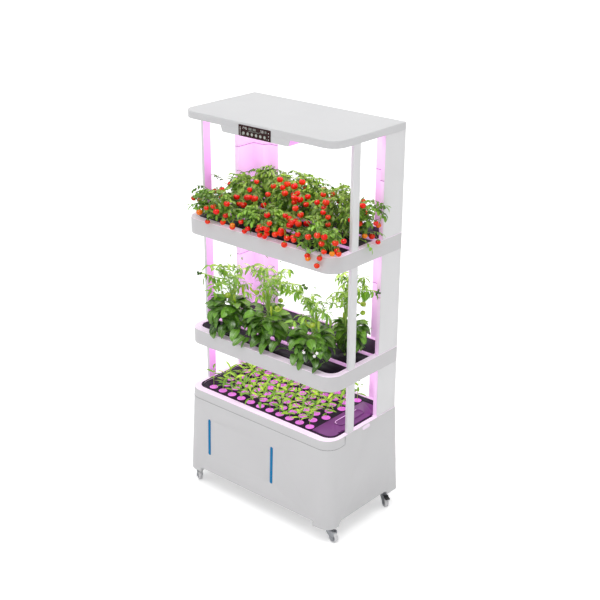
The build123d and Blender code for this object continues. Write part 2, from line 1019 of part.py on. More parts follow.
def control_board():
    """Upright circuit board behind the keys, with a switch for each."""
    low = cap_low - box_drop + box_wall
    front = display_back() + board_setback
    half = display_half - 4
    board = block(-half, half, front, front + board_thickness, low, cap_low - fit_gap)
    reach = switch_width / 2
    for index in range(key_count):
        x = key_x(index)
        board += block(x - reach, x + reach, front - 2.5, front + 0.5, key_z() - reach, key_z() + reach)
    return board


def power_supply():
    """Lamp driver on top of the lamp panel inside the cap, with cooling fins and two ears."""
    low = cap_low + lamp_recess + lamp_thickness
    right = supply_left + supply_length
    rear = supply_front + supply_depth
    body = block(supply_left, right, supply_front, rear, low, low + supply_height)
    for index in range(supply_fins):
        x = supply_left + supply_fin_pitch / 2 + index * supply_fin_pitch
        fin_low = low + supply_height - supply_fin_depth
        body -= block(x, x + supply_fin_gap, supply_front - 1, rear + 1, fin_low, low + supply_height + 1)
    front = (supply_front + rear - supply_ear_width) / 2
    left = supply_left - supply_ear
    high = low + supply_ear_thickness
    return body + block(left, right + supply_ear, front, front + supply_ear_width, low, high)


# Casters: a mount plate, a swivelling fork, an axle and a wheel, and a brake lever on the rear ones

def caster_spot(corner):
    """Place of a caster's upright axis."""
    x = caster_half if corner.endswith("right") else -caster_half
    return Pos(x, caster_front if corner.startswith("front") else caster_rear, 0)


def caster_place(corner):
    return caster_spot(corner) * Rot(0, 0, caster_turns[corner])


def fork_half():
    return wheel_width / 2 + wheel_gap


def caster_mounts():
    plate = raised(bevelled(mount_side, mount_side, 4), caster_height - mount_thickness, caster_height)
    return [caster_spot(corner) * plate for corner in caster_turns]


def side_profile(points, half_width):
    """Solid with a profile in the caster's upright plane, centred across it."""
    return Rot(90, 0, 0) * extrude(polygon(points), half_width, both=True)


def cross_pin(x, z, radius, length):
    """Twelve-sided bar across the caster."""
    bar = extrude(RegularPolygon(radius, pin_sides), length / 2, both=True)
    return Pos(x, 0, z) * Rot(90, 0, 0) * bar


def cross_bore(x, z, radius, length):
    """Twelve-sided bore that leaves a round bar of this radius free."""
    return cross_pin(x, z, radius / cos(pi / pin_sides), length)


def caster_fork(braked):
    """Stamped fork with its raceway, and with holes for a brake lever where it has one."""
    crown_top = lever_z + 2
    foot = wheel_radius - 8
    points = [
        (-crown_front, crown_top),
        (crown_rear, crown_top),
        (lever_x - 4, lever_z + 5),
        (lever_x + 4, lever_z + 5),
        (lever_x + 6, lever_z - 4),
        (caster_trail + 8, wheel_radius),
        (caster_trail + 8, foot),
        (caster_trail - 8, foot),
        (caster_trail - 8, wheel_radius - 2),
        (-crown_front, crown_top - crown_drop),
    ]
    profile = polygon(points)
    profile = chamfer(profile.vertices().sort_by(Axis.Y)[:2], 4)
    outer = fork_half() + fork_thickness
    fork = Rot(90, 0, 0) * extrude(profile, outer, both=True)
    fork -= block(-20, 60, -fork_half(), fork_half(), 0, crown_top + 10)
    fork += block(-crown_front, crown_rear, -outer, outer, crown_top - fork_thickness, crown_top)
    race_top = caster_height - mount_thickness - swivel_clear
    fork += raised(RegularPolygon(race_radius, pin_sides), crown_top, race_top)
    fork -= cross_pin(caster_trail, wheel_radius, axle_radius, 4 * outer)
    if braked:
        fork -= cross_bore(lever_x, lever_z, lever_pin, 4 * outer)
    return fork


def caster_axle():
    """Bolt through the fork and the wheel, with a six-sided head at each end."""
    outer = fork_half() + fork_thickness
    axle = cross_pin(caster_trail, wheel_radius, axle_radius, 2 * outer)
    head = extrude(RegularPolygon(axle_radius + axle_head, 6), axle_head / 2, both=True)
    for side in (-1, 1):
        axle += Pos(caster_trail, side * (outer + axle_head / 2), wheel_radius) * Rot(90, 0, 0) * head
    return axle


def caster_wheel():
    """Wheel with bevelled edges, of 32 flats whose middles lie on its radius."""
    rings = []
    for inset, z in ((wheel_chamfer, -1), (0, -1), (0, 1), (wheel_chamfer, 1)):
        radius = (wheel_radius - inset) / cos(pi / wheel_sides)
        height = z * (wheel_width / 2 - wheel_chamfer + inset)
        angles = [2 * pi * (index + 0.5) / wheel_sides for index in range(wheel_sides)]
        rings.append([(radius * cos(angle), radius * sin(angle), height) for angle in angles])
    wheel = Pos(caster_trail, 0, wheel_radius) * Rot(90, 0, 0) * stacked_solid(rings)
    return wheel - cross_bore(caster_trail, wheel_radius, axle_radius + axle_clear, 2 * wheel_width)


def brake_lever():
    """Foot lever between the fork's sides, whose lobe presses on the wheel."""
    lobe = 2 * wheel_radius + 0.5
    points = [
        (lever_x - 3.5, lever_z + 2),
        (lever_x - 2, lever_z + 4.5),
        (lever_x + 24, lever_z + 2),
        (lever_x + 26.5, lever_z - 2),
        (lever_x + 5, lever_z - 3.5),
        (lever_x + 2, lobe),
        (lever_x - 2, lobe),
        (lever_x - 4.5, lever_z - 3.5),
    ]
    lever = side_profile(points, fork_half() - 0.3)
    return lever + cross_pin(lever_x, lever_z, lever_pin - lever_clear, 2 * fork_half() + 2 * fork_thickness)


# Plants, as closed solids of their outer shape

def leafy_form(middle, half, low, high, seed):
    """Leafy outline: stacked eight-sided rings that swell and draw in again."""
    shares = ((0, 0.6), (0.2, 0.97), (0.5, 1.0), (0.82, 0.74), (1, 0.36))
    rings = []
    for index, (rise, share) in enumerate(shares):
        size = share * (1 - 0.03 * (1 + sin(seed * 2.4 + index * 1.7)))
        points = []
        for side in range(plant_sides):
            angle = 2 * pi * (side + 0.5) / plant_sides
            x = middle[0] + size * half[0] * cos(angle) / cos(pi / plant_sides)
            y = middle[1] + size * half[1] * sin(angle) / cos(pi / plant_sides)
            points.append((x, y, low + rise * (high - low)))
        rings.append(points)
    return stacked_solid(rings)


def bush_form(bush, share, low, high, seed):
    """Leaves of one plant between two heights, at a share of its full spread."""
    x, spread, y, depth = bush[2:6]
    half = (share * spread * well_half, share * depth)
    return leafy_form((x * well_half, y), half, low, high, seed)


def plant_set(top, bushes):
    """One plant in each basket, each with its own room so that none crosses another."""
    low = top + leaf_lift
    stem = Rectangle(stem_width, stem_width)
    plants = [raised(Pos(*seat) * stem, top - plank_drop + 1, low) for seat in basket_places(bushes)]
    return plants + [bush_form(bush, 1, low, top + bush[6], seed) for seed, bush in enumerate(bushes)]


def tomato_plants():
    return plant_set(upper_top, tomato_bushes)


def pepper_plants():
    """Leafy plants, each with a slimmer head of young shoots."""
    plants = plant_set(middle_top, pepper_bushes)
    for seed, (bush, height) in enumerate(zip(pepper_bushes, pepper_shoots)):
        plants.append(bush_form(bush, shoot_share, middle_top + bush[6], middle_top + height, seed))
    return plants


def leaf(root, reach, spread, rise, turn):
    """Narrow leaf with a fold along its middle, as four flat faces."""
    along = (cos(turn), sin(turn))
    across = (-along[1], along[0])
    tip = (root[0] + reach * along[0], root[1] + reach * along[1], root[2] + rise)
    middle = [root[i] + 0.5 * reach * along[i] for i in range(2)]
    left = (middle[0] + spread * across[0], middle[1] + spread * across[1], root[2] + 0.75 * rise)
    right = (middle[0] - spread * across[0], middle[1] - spread * across[1], root[2] + 0.75 * rise)
    return closed_solid([[root, left, tip], [root, tip, right], [left, right, tip], [root, right, left]])


def seedlings():
    """Young plants, one in each plug: a pair of folded leaves on a common root."""
    seat = plate_top() + plug_proud
    plants = []
    for index, (x, y) in enumerate(plug_places()):
        turn = 0.9 * index
        height = seedling_height + seedling_variation * sin(index * 1.3)
        for side in (0, pi):
            root = (x + 0.4 * cos(turn + side), y + 0.4 * sin(turn + side), seat)
            plants.append(leaf(root, seedling_reach, seedling_spread, height, turn + side))
    return plants


def nodes():
    """Every piece by name."""
    made = {
        "base_casing": base_casing(),
        "base_collar": base_collar(),
        "base_floor": base_floor(),
        "water_tank": water_tank(),
        "level_windows": level_windows(),
        "side_plug": side_plug(),
        "seedling_plate": seedling_plate(),
        "seedling_cups": seedling_cups(),
        "seedlings": seedlings(),
        "access_lid": access_lid(),
        "water_pump": water_pump(),
        "riser_pipe": riser_pipe(),
        "drain_pipe": drain_pipe(),
        "middle_tray": tray(
            middle_low, [(-pipe_x, return_port()), (-pipe_x, drain_port(middle_top))]
        ),
        "middle_planks": planks(middle_top, pepper_bushes),
        "middle_baskets": baskets(middle_top, pepper_bushes),
        "pepper_plants": pepper_plants(),
        "upper_tray": tray(upper_low, [(pipe_x, riser_port()), (-pipe_x, drain_port(upper_top))]),
        "upper_planks": planks(upper_top, tomato_bushes),
        "upper_baskets": baskets(upper_top, tomato_bushes),
        "tomato_plants": tomato_plants(),
        "top_cap": top_cap(),
        "control_box": control_box(),
        "display_window": display_window(),
        "control_board": control_board(),
        "power_supply": power_supply(),
        "caster_mounts": caster_mounts(),
    }
    for side, name in ((-1, "left"), (1, "right")):
        made["front_post_" + name] = front_post(side)
        made["column_cover_" + name] = column_cover(side)
        made["column_liner_" + name] = column_liner(side)
    half = display_half + lamp_notch_side
    rear = front_line + lamp_notch_depth
    notch = block(-half, half, front_line - 1, rear, cap_low, cap_low + 2 * lamp_thickness)
    for level, low in (("lower", middle_low), ("middle", upper_low), ("upper", cap_low)):
        made["lamp_panel_" + level] = lamp_panel(low, notch if low == cap_low else None)
        made["light_bars_" + level] = light_bars(low)
    for index in range(key_count):
        made["panel_key_" + str(index + 1)] = panel_key(index)
    for corner in caster_turns:
        place = caster_place(corner)
        made["caster_fork_" + corner] = place * caster_fork(corner.startswith("rear"))
        made["caster_wheel_" + corner] = place * caster_wheel()
        made["caster_axle_" + corner] = place * caster_axle()
        if corner.startswith("rear"):
            made["brake_lever_" + corner] = place * brake_lever()
    return made


os.makedirs("parts", exist_ok=True)
for name, shape in nodes().items():
    solids = shape if isinstance(shape, list) else [shape]
    pieces = [solid for piece in solids for solid in piece.solids()]
    export_step(Compound(children=pieces), "parts/" + name + ".step")
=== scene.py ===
import bpy
import bmesh
import json
import numpy as np
from math import atan2, cos, pi, radians, sin, sqrt
from mathutils import Matrix, Vector


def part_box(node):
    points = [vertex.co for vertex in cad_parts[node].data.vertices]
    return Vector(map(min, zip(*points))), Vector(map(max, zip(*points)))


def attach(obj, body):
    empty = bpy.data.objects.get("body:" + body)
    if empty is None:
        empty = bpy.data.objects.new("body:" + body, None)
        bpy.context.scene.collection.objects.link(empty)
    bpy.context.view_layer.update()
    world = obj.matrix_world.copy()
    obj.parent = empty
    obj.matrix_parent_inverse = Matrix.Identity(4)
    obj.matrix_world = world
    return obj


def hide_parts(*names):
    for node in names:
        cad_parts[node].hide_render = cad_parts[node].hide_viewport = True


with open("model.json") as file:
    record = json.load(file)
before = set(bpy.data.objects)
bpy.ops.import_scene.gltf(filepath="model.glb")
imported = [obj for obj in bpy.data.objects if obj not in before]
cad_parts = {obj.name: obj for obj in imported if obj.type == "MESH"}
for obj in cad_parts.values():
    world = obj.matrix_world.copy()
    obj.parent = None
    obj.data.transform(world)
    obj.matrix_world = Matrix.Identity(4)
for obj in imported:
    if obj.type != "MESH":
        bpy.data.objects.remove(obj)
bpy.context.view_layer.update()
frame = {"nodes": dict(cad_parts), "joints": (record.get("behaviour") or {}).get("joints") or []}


# Base casing, collar and floor panel
# Injection-moulded white ABS with a fine spark-eroded skin, which gives a soft sheen and no
# mirror. The edges have the small radius of the mould. The collar snaps on over the casing.

def linear(code):
    """Linear colour of an sRGB hex code."""
    parts = [int(code[i:i + 2], 16) / 255 for i in (1, 3, 5)]
    return [c / 12.92 if c <= 0.04045 else ((c + 0.055) / 1.055) ** 2.4 for c in parts] + [1]


def fill(tree, node, settings=None, links=None):
    """Sets a shader node's values and links what feeds it."""
    for key, value in (settings or {}).items():
        if isinstance(key, int) or key in node.inputs:
            node.inputs[key].default_value = value
        else:
            setattr(node, key, value)
    for key, source in (links or {}).items():
        socket = source.outputs[0] if isinstance(source, bpy.types.Node) else source
        tree.links.new(socket, node.inputs[key])
    return node


def add(tree, kind, settings=None, links=None):
    """Adds a shader node with its values and what feeds it: a socket, or a node's first one."""
    return fill(tree, tree.nodes.new("ShaderNode" + kind), settings, links)


def new_material(name):
    """Empty material, its node tree and its shader."""
    material = bpy.data.materials.new(name)
    material.use_nodes = True
    return material, material.node_tree, material.node_tree.nodes["Principled BSDF"]


def moulded(name, light, dark, roughness, grain_mm=0.9, relief_mm=0.03, patch_mm=180, painted_light_glow=None,
            shine=0.5):
    """Moulded plastic: two close tones in wide soft patches over a grained skin.

    The real grain is about a tenth of a millimetre. It is drawn coarser, so that it shows.
    """
    material, tree, shader = new_material(name)
    place = add(tree, "TexCoord").outputs["Object"]
    patch = add(tree, "TexNoise", {"Scale": 1000 / patch_mm, "Detail": 3}, {"Vector": place})
    tone = add(tree, "MixRGB", {"Color1": linear(light), "Color2": linear(dark)}, {"Fac": patch})
    spread = add(tree, "MapRange", {"To Min": roughness - 0.05, "To Max": roughness + 0.07},
                 {"Value": patch})
    grain = add(tree, "TexNoise", {"Scale": 1000 / grain_mm, "Detail": 2}, {"Vector": place})
    bump = add(tree, "Bump", {"Strength": 0.35, "Distance": relief_mm / 1000}, {"Height": grain})
    fill(tree, shader, {"IOR": 1.53, "Specular IOR Level": shine},
         {"Base Color": tone, "Roughness": spread, "Normal": bump})
    # The glow is painted light: lamp light painted on as a faint emission in its own colour.
    if painted_light_glow:
        fill(tree, shader, {"Emission Color": linear(painted_light_glow[0]), "Emission Strength": painted_light_glow[1]})
    return material


def placed(name, data):
    """New object in the scene, made of a mesh, a lamp or a camera."""
    made = bpy.data.objects.new(name, data)
    bpy.context.scene.collection.objects.link(made)
    return made


def select_only(piece):
    """Selects one piece and nothing else, for an operator."""
    bpy.ops.object.select_all(action="DESELECT")
    bpy.context.view_layer.objects.active = piece
    piece.select_set(True)


def finished(piece, material, body="cabinet", node=None):
    """Gives a piece its material and the body that it moves with, and hides the node it stands for.
    """
    piece.data.materials.clear()
    piece.data.materials.append(material)
    if node:
        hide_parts(node)
    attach(piece, body)
    return piece


def kept(name, material):
    """CAD node that needs no more than its material."""
    return finished(frame["nodes"][name], material)


same_point = 0.00001
flat_angle, sharp_angle, smooth_angle = radians(1), radians(32), radians(30)


def eased(name, width_mm, material, body="cabinet"):
    """Copy of a rigid piece with its sharp edges eased as the mould or the press leaves them."""
    piece = placed(name + "_eased", frame["nodes"][name].data.copy())
    shape = bmesh.new()
    shape.from_mesh(piece.data)
    bmesh.ops.remove_doubles(shape, verts=shape.verts, dist=same_point)
    bmesh.ops.dissolve_limit(shape, angle_limit=flat_angle, verts=shape.verts, edges=shape.edges)
    shape.to_mesh(piece.data)
    shape.free()
    select_only(piece)
    bevel = piece.modifiers.new("eased edges", "BEVEL")
    bevel.width = width_mm / 1000
    bevel.segments = 2
    bevel.limit_method = "ANGLE"
    bevel.angle_limit = sharp_angle
    bevel.use_clamp_overlap = True
    bpy.ops.object.modifier_apply(modifier=bevel.name)
    bpy.ops.object.shade_smooth_by_angle(angle=smooth_angle)
    return finished(piece, material, body, name)


def tinted(piece, material, test):
    """Gives a second material to the faces whose box and normal pass the test."""
    piece.data.materials.append(material)
    index = len(piece.data.materials) - 1
    for face in piece.data.polygons:
        corners = [piece.data.vertices[i].co for i in face.vertices]
        low, high = [Vector([pick(corner[axis] for corner in corners) for axis in range(3)])
                     for pick in (min, max)]
        if test(low, high, face.normal):
            face.material_index = index


casing_white = moulded("moulded ABS, white casing", "#dcdcdd", "#d7d7d8", 0.42)
# The rim's pale pink and its glow are the grow lights' light, painted into its colour.
rim_painted_lamp_pink = moulded("moulded ABS, white rim, painted pink lamp light", "#fbeefb", "#f6e8f7", 0.38,
                    painted_light_glow=("#ffe4ff", 0.12))
eased("base_casing", 1.2, casing_white)
collar = eased("base_collar", 1.2, casing_white)
well_side, well_front, well_foot = 0.38, -0.186, 0.42
# The collar's upward faces and its well walls take the rim's painted pink lamp light.
tinted(collar, rim_painted_lamp_pink, lambda low, high, normal: normal.z > 0.95 or
       (low.z > well_foot and max(abs(low.x), abs(high.x)) < well_side and low.y > well_front))
kept("base_floor", casing_white)

# Level windows and side plug
# The windows are clear acrylic tinted by the blue nutrient water behind them, so they look
# bright blue with a gloss. The plug is polished white ABS; its pink glint on the matt casing
# is painted into its colour, with a faint glow.

window_blue = moulded("acrylic window over blue water", "#0d83bd", "#0b78af", 0.15, 3, 0.01, 40,
                      shine=0.2)
eased("level_windows", 0.6, window_blue)
plug_painted_glint = moulded("polished ABS, plug, painted glint", "#fbeefb", "#f7e8f8", 0.2, painted_light_glow=("#ffe0ff", 0.12))
eased("side_plug", 0.8, plug_painted_glint)

# Water tank, pump and pipes
# Blow-moulded polyethylene tank with a waxy matte skin, a black nylon pump and grey PVC pipes,
# all hidden by the casing and the columns.

tank_grey = moulded("blow-moulded polyethylene", "#8a8f96", "#7d828a", 0.6, 2.5, 0.08)
kept("water_tank", tank_grey)
pump_black = moulded("moulded nylon, pump", "#17171a", "#0f0f12", 0.55)
kept("water_pump", pump_black)
pipe_grey = moulded("extruded PVC pipe", "#a2a2a6", "#97979c", 0.4, 1.5)
for name in ("riser_pipe", "drain_pipe"):
    kept(name, pipe_grey)

# Casters
# Pressed zinc-plated forks on a ball race, which shine softly, with pale cast polyurethane
# wheels on a darker nylon hub, and black nylon brake levers on the rear pair.

def pressed_metal(name, light, dark, roughness):
    """Bright sheet metal: lines brushed one way under a faintly cloudy surface."""
    clouds, brushed = 90, (300, 300, 2500)  # per metre: clouds of 11 mm, lines 0.4 mm apart
    material, tree, shader = new_material(name)
    place = add(tree, "TexCoord").outputs["Object"]
    cloud = add(tree, "TexNoise", {"Scale": clouds, "Detail": 4}, {"Vector": place})
    tone = add(tree, "MixRGB", {"Color1": linear(light), "Color2": linear(dark)}, {"Fac": cloud})
    spread = add(tree, "MapRange", {"To Min": roughness - 0.06, "To Max": roughness + 0.1},
                 {"Value": cloud})
    stretch = add(tree, "Mapping", {"Scale": brushed}, {"Vector": place})
    lines = add(tree, "TexNoise", {"Scale": 1, "Detail": 2}, {"Vector": stretch})
    bump = add(tree, "Bump", {"Strength": 0.2, "Distance": 0.00003}, {"Height": lines})
    fill(tree, shader, {"Metallic": 1}, {"Base Color": tone, "Roughness": spread, "Normal": bump})
    return material


zinc = pressed_metal("pressed steel, zinc plated", "#b4b6ba", "#9da0a5", 0.38)
bolt_steel = pressed_metal("turned steel, bolts", "#b4b6ba", "#9a9ca1", 0.28)
tread = moulded("cast polyurethane tread", "#e2e2e4", "#d8d8da", 0.5, 1.2, 0.05, 30)
hub_grey = moulded("moulded nylon hub", "#a6a8ad", "#989aa0", 0.5, 1.2, 0.04, 30)
lever_black = moulded("moulded nylon, brake lever", "#1a1a1c", "#121214", 0.5)
eased("caster_mounts", 0.5, zinc)
wheel_corners = ("front_left", "front_right", "rear_left", "rear_right")
for corner in wheel_corners:
    eased("caster_fork_" + corner, 0.4, zinc, "caster_" + corner)
    eased("caster_axle_" + corner, 0.4, bolt_steel, "caster_" + corner)


def gathered(name, vertices, faces, smooth=True):
    """New object from points and faces."""
    mesh = bpy.data.meshes.new(name)
    mesh.from_pydata([tuple(v) for v in vertices], [], faces)
    mesh.polygons.foreach_set("use_smooth", [smooth] * len(mesh.polygons))
    mesh.update()
    return placed(name, mesh)


def turned(name, profile, steps, centre, axis):
    """Solid of revolution: a closed profile of (along, radius) points, spun about an axis."""
    side = axis.orthogonal().normalized()
    count = len(profile)
    piece = gathered(name, [centre + axis * along + side * radius for along, radius in profile], [])
    shape = bmesh.new()
    shape.from_mesh(piece.data)
    shape.verts.ensure_lookup_table()
    rim = [shape.edges.new((shape.verts[i], shape.verts[(i + 1) % count])) for i in range(count)]
    bmesh.ops.spin(shape, geom=shape.verts[:] + rim, cent=centre, axis=axis, angle=2 * pi,
                   steps=steps)
    bmesh.ops.remove_doubles(shape, verts=shape.verts, dist=same_point / 2)
    bmesh.ops.recalc_face_normals(shape, faces=shape.faces)
    shape.to_mesh(piece.data)
    shape.free()
    select_only(piece)
    bpy.ops.object.shade_smooth_by_angle(angle=radians(35))
    return piece


def mirrored(points):
    """A path that goes on as its own mirror image, in which the first values are negative."""
    return points + [(-first, *rest) for first, *rest in points[::-1]]


joints = {joint["name"]: joint for joint in frame["joints"]}
flank, bore, hub_radius, tyre_bore = -0.009, 0.0031, 0.0154, 0.0155
hub = mirrored([(flank + 0.0004, hub_radius), (flank + 0.0004, 0.0142), (flank + 0.0022, 0.0132),
                (flank + 0.0022, 0.0072), (flank - 0.0006, 0.006), (flank - 0.0006, bore)])
for corner in wheel_corners:
    spin = joints["wheel_spin_" + corner]
    low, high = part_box("caster_wheel_" + corner)
    radius = (high[2] - low[2]) / 2
    tyre = mirrored([(flank, tyre_bore), (flank, radius - 0.003),
                     (flank + 0.0008, radius - 0.0012), (flank + 0.0026, radius)])
    for part, profile, steps, skin in (("tyre", tyre, 56, tread), ("hub", hub, 48, hub_grey)):
        wheel = turned("caster_%s_%s" % (part, corner), profile, steps, Vector(spin["pos_m"]),
                       Vector(spin["axis"]).normalized())
        finished(wheel, skin, "wheel_" + corner, "caster_wheel_" + corner)
for corner in ("rear_left", "rear_right"):
    eased("brake_lever_" + corner, 0.4, lever_black, "brake_" + corner)

# Seedling plate, plugs and access lid
# The plate and the lid are vacuum-formed dark plastic; their aubergine tint is the pink lamp
# light painted into their colour. The plate's thin lip lies on the rim, and the plugs are pale
# coir in round net cups, with the pink lamp light painted into their colour and a glow.

# The plate's and the lid's purple is the pink lamp light, painted into their dark colours.
plate_painted_pink_tint = moulded("formed dark polystyrene, painted pink tint", "#22092a", "#16051d", 0.42, 1.6, 0.05, 90,
                     shine=0.12)
lid_painted_pink_tint = moulded("moulded lid, smoky, painted pink tint", "#7d4382", "#6a376f", 0.3, 1.6, 0.03, 60, shine=0.2)
plate = eased("seedling_plate", 0.4, plate_painted_pink_tint)
knuckle_height = 0.467
tinted(plate, lid_painted_pink_tint, lambda low, high, normal: high.z > knuckle_height)
eased("access_lid", 0.8, lid_painted_pink_tint, "lid")
# The plugs' strong pink and glow are the lamp light painted into the coir's colour.
coir = moulded("coir medium, painted pink lamp light", "#f7a0f0", "#e080dc", 0.8, 3, 0.8, 9,
               ("#ff78f6", 0.3), 0.1)


def islands(name):
    """Boxes (low, high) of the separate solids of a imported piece."""
    shape = bmesh.new()
    shape.from_mesh(frame["nodes"][name].data)
    bmesh.ops.remove_doubles(shape, verts=shape.verts, dist=same_point * 2)
    boxes, seen = [], set()
    for start in shape.verts:
        if start in seen:
            continue
        seen.add(start)
        group, queue = [], [start]
        while queue:
            point = queue.pop()
            group.append(point.co[:])
            for edge in point.link_edges:
                other = edge.other_vert(point)
                if other not in seen:
                    seen.add(other)
                    queue.append(other)
        boxes.append((np.min(group, axis=0), np.max(group, axis=0)))
    shape.free()
    return boxes


def ring_walls(rows, around, reverse=False):
    """Faces between one ring of points and the next, for so many rows."""
    faces = []
    for row in range(rows):
        for i in range(around):
            a, b = row * around + i, row * around + (i + 1) % around
            wall = (a, a + around, b + around, b) if reverse else (a, b, b + around, a + around)
            faces.append(wall)
    return faces


plug_boxes = islands("seedling_cups")
places = [((low[0] + high[0]) / 2, (low[1] + high[1]) / 2) for low, high in plug_boxes]
plug_top = plug_boxes[0][1][2]
steps = 20
plug_profile = ((0.0128, -0.035), (0.0168, -0.0022), (0.0186, -0.0018), (0.0186, -0.0006),
                (0.0172, 0), (0.0162, -0.0006), (0.0158, -0.0018), (0.011, -0.0008),
                (0.005, 0.0002))
cup_points = np.array([(radius * cos(2 * pi * i / steps), radius * sin(2 * pi * i / steps), z)
                       for radius, z in plug_profile for i in range(steps)] + [(0, 0, 0.0004)])
cup_faces = [tuple(range(steps))[::-1]] + ring_walls(len(plug_profile) - 1, steps)
middle_point = len(cup_points) - 1
last = middle_point - steps
cup_faces += [(last + i, last + (i + 1) % steps, middle_point) for i in range(steps)]
cups = gathered("seedling_plugs",
                np.concatenate([cup_points + (x, y, plug_top) for x, y in places]),
                [tuple(plug * len(cup_points) + i for i in face)
                 for plug in range(len(places)) for face in cup_faces])
finished(cups, coir, "cabinet", "seedling_cups")
lip_side, lip_corner, lip_middle, inner_corner = 0.382, 0.045, -0.145, 0.0414
rim_height, lip_thickness = 0.468, 0.0006
turns = np.linspace(0, -pi / 2, 9)
bend_x = lip_side - lip_corner
outer_path = mirrored([(lip_side, 0.086)] + [
    (bend_x + lip_corner * cos(t), lip_middle + lip_corner * sin(t)) for t in turns])
inner_path = mirrored([(0.3744, 0.086)] + [
    (0.333 + inner_corner * cos(t), -0.138 + inner_corner * sin(t)) for t in turns])
lip_points = []
for outer, inner in zip(outer_path, inner_path):
    lip_points += [(*outer, rim_height), (*outer, rim_height + lip_thickness),
                   (*inner, rim_height + lip_thickness), (*inner, rim_height)]
last = len(lip_points) - 4
lip_faces = ring_walls(len(outer_path) - 1, 4, True)
lip_faces += [(0, 1, 2, 3), (last + 3, last + 2, last + 1, last)]
lip = gathered("seedling_plate_lip", lip_points, lip_faces, False)
finished(lip, plate_painted_pink_tint, "cabinet", "seedling_plate")

# Seams and lid grip
# A thin grey bead in the seam of the collar is painted shade in that seam, and plum ones are
# painted shade in the seams of the liners, with the pink lamp light painted in too. The lid's
# grip has a polished edge; the pale glowing bead along it is a painted highlight.

def tube_along(path, radii, sides=5):
    """Stem or bead through a list of points, with a radius at each."""
    path = np.array(path, float)
    points = []
    up = Vector((0.13, 0.2, 1)).normalized()
    for i, spot in enumerate(path):
        ahead = Vector(path[min(i + 1, len(path) - 1)] - path[max(i - 1, 0)]).normalized()
        side = ahead.cross(up if abs(ahead.dot(up)) < 0.95 else Vector((1, 0, 0))).normalized()
        other = ahead.cross(side)
        for k in range(sides):
            a = 2 * pi * k / sides
            points.append(tuple(Vector(spot) + (side * cos(a) + other * sin(a)) * radii[i]))
    faces = ring_walls(len(path) - 1, sides)
    faces.append(tuple(range(sides)))
    faces.append(tuple(range((len(path) - 1) * sides, len(path) * sides))[::-1])
    count = len(points)
    return np.array(points), faces, np.tile((0.5, 0.5), (count, 1)), np.zeros(count)


def bead(name, path, radius, material, node, body="cabinet"):
    """Thin rigid bead along a path, all in mm."""
    points, faces = tube_along(np.array(path, float) / 1000, [radius / 1000] * len(path), 8)[:2]
    finished(gathered(name, points, faces), material, body, node)


# Grey bead: painted shade in the seam between the collar and the casing.
seam_shade_grey = moulded("grey bead of painted seam shade", "#8c8c90", "#828286", 0.7)
seam_side, seam_turn, seam_height = 403.6, 64.6, 428
half_seam = [(seam_side, -126, 464), (seam_side, -126, seam_height + 1)]
half_seam += [(339 + seam_turn * cos(t), -160 + seam_turn * sin(t), seam_height) for t in turns]
bead("collar_seam_shade_bead", mirrored(half_seam), 1.1, seam_shade_grey, "base_collar")
# Plum beads: painted shade in the liners' seams, with painted pink lamp light.
seam_shade_plum = moulded("plum bead of painted seam shade and lamp light", "#ad70b2", "#a066a6", 0.6)
for side, sign in (("left", -1), ("right", 1)):
    for height in (1003, 1489):
        outline = [(sign * x, y, height) for x, y in (
            (395, 90), (378.5, 90), (378.5, 186), (323.5, 186), (307.5, 212), (264, 212))]
        bead("liner_seam_bead_%s_%d" % (side, height), outline, 1.2, seam_shade_plum,
             "column_liner_" + side)
# The pale bead and its glow along the grip's edge are a painted highlight.
grip_painted_highlight = moulded("lid grip edge, painted highlight", "#f4dcf6", "#efd2f2", 0.15, painted_light_glow=("#ffd0ff", 0.2))
grip = [(x, y, 472.3) for x, y in ((316, -71.5), (306, -70), (299, -60), (298.6, 0), (298.6, 78))]
bead("grip_edge_highlight", grip, 1.8, grip_painted_highlight, "access_lid", "lid")

# Seedlings
# Young plants with a pale stem, a few narrow bright leaves and a soft waxy skin. Every leaf, of
# the other plants too, is a thin curved blade, shaped once and set by a seeded draw.

draw = np.random.default_rng(11)
next_leaf = 2.4  # radians from one leaf to the next up a stem


def blade(length, width, rows, across, bend, fold, rise, fall, teeth=0.0, wave=0.0):
    """Leaf from the origin along +X that arches down, with its own (across, along) places.

    It swells with the power rise and tapers with the power fall. Teeth are a share of its width.
    """
    peak = rise / (rise + fall)
    full = peak ** rise * (1 - peak) ** fall
    points, spots = [], []
    for row in range(rows + 1):
        t = 0.5 - 0.5 * cos(pi * row / rows)
        half = max(width / 2 * t ** rise * (1 - t) ** fall / full, width * 0.02)
        if teeth and 0 < row < rows:
            half *= 1 + teeth * (1 if row % 2 else -1)
        turn = bend * t
        for column in range(across + 1):
            u = 2 * column / across - 1
            lift = abs(u) * (fold * half + wave * width * sin(11 * t + 2 * u))
            x = length * sin(turn) / bend + lift * sin(turn)
            z = length * (cos(turn) - 1) / bend + lift * cos(turn)
            points.append((x, u * half, z))
            spots.append((u * 0.5 + 0.5, t))
    faces = []
    for row in range(rows):
        for column in range(across):
            corner = row * (across + 1) + column
            faces.append((corner, corner + 1, corner + across + 2, corner + across + 1))
    return np.array(points), faces, np.array(spots), np.zeros(len(points))


def turn_to(yaw, pitch, roll=0.0, size=1.0):
    """Turning matrix that takes +X to a heading above the horizon, after a roll about itself."""
    turn = Matrix.Rotation(yaw, 3, "Z") @ Matrix.Rotation(-pitch, 3, "Y")
    return np.array(turn @ Matrix.Rotation(roll, 3, "X")) * size


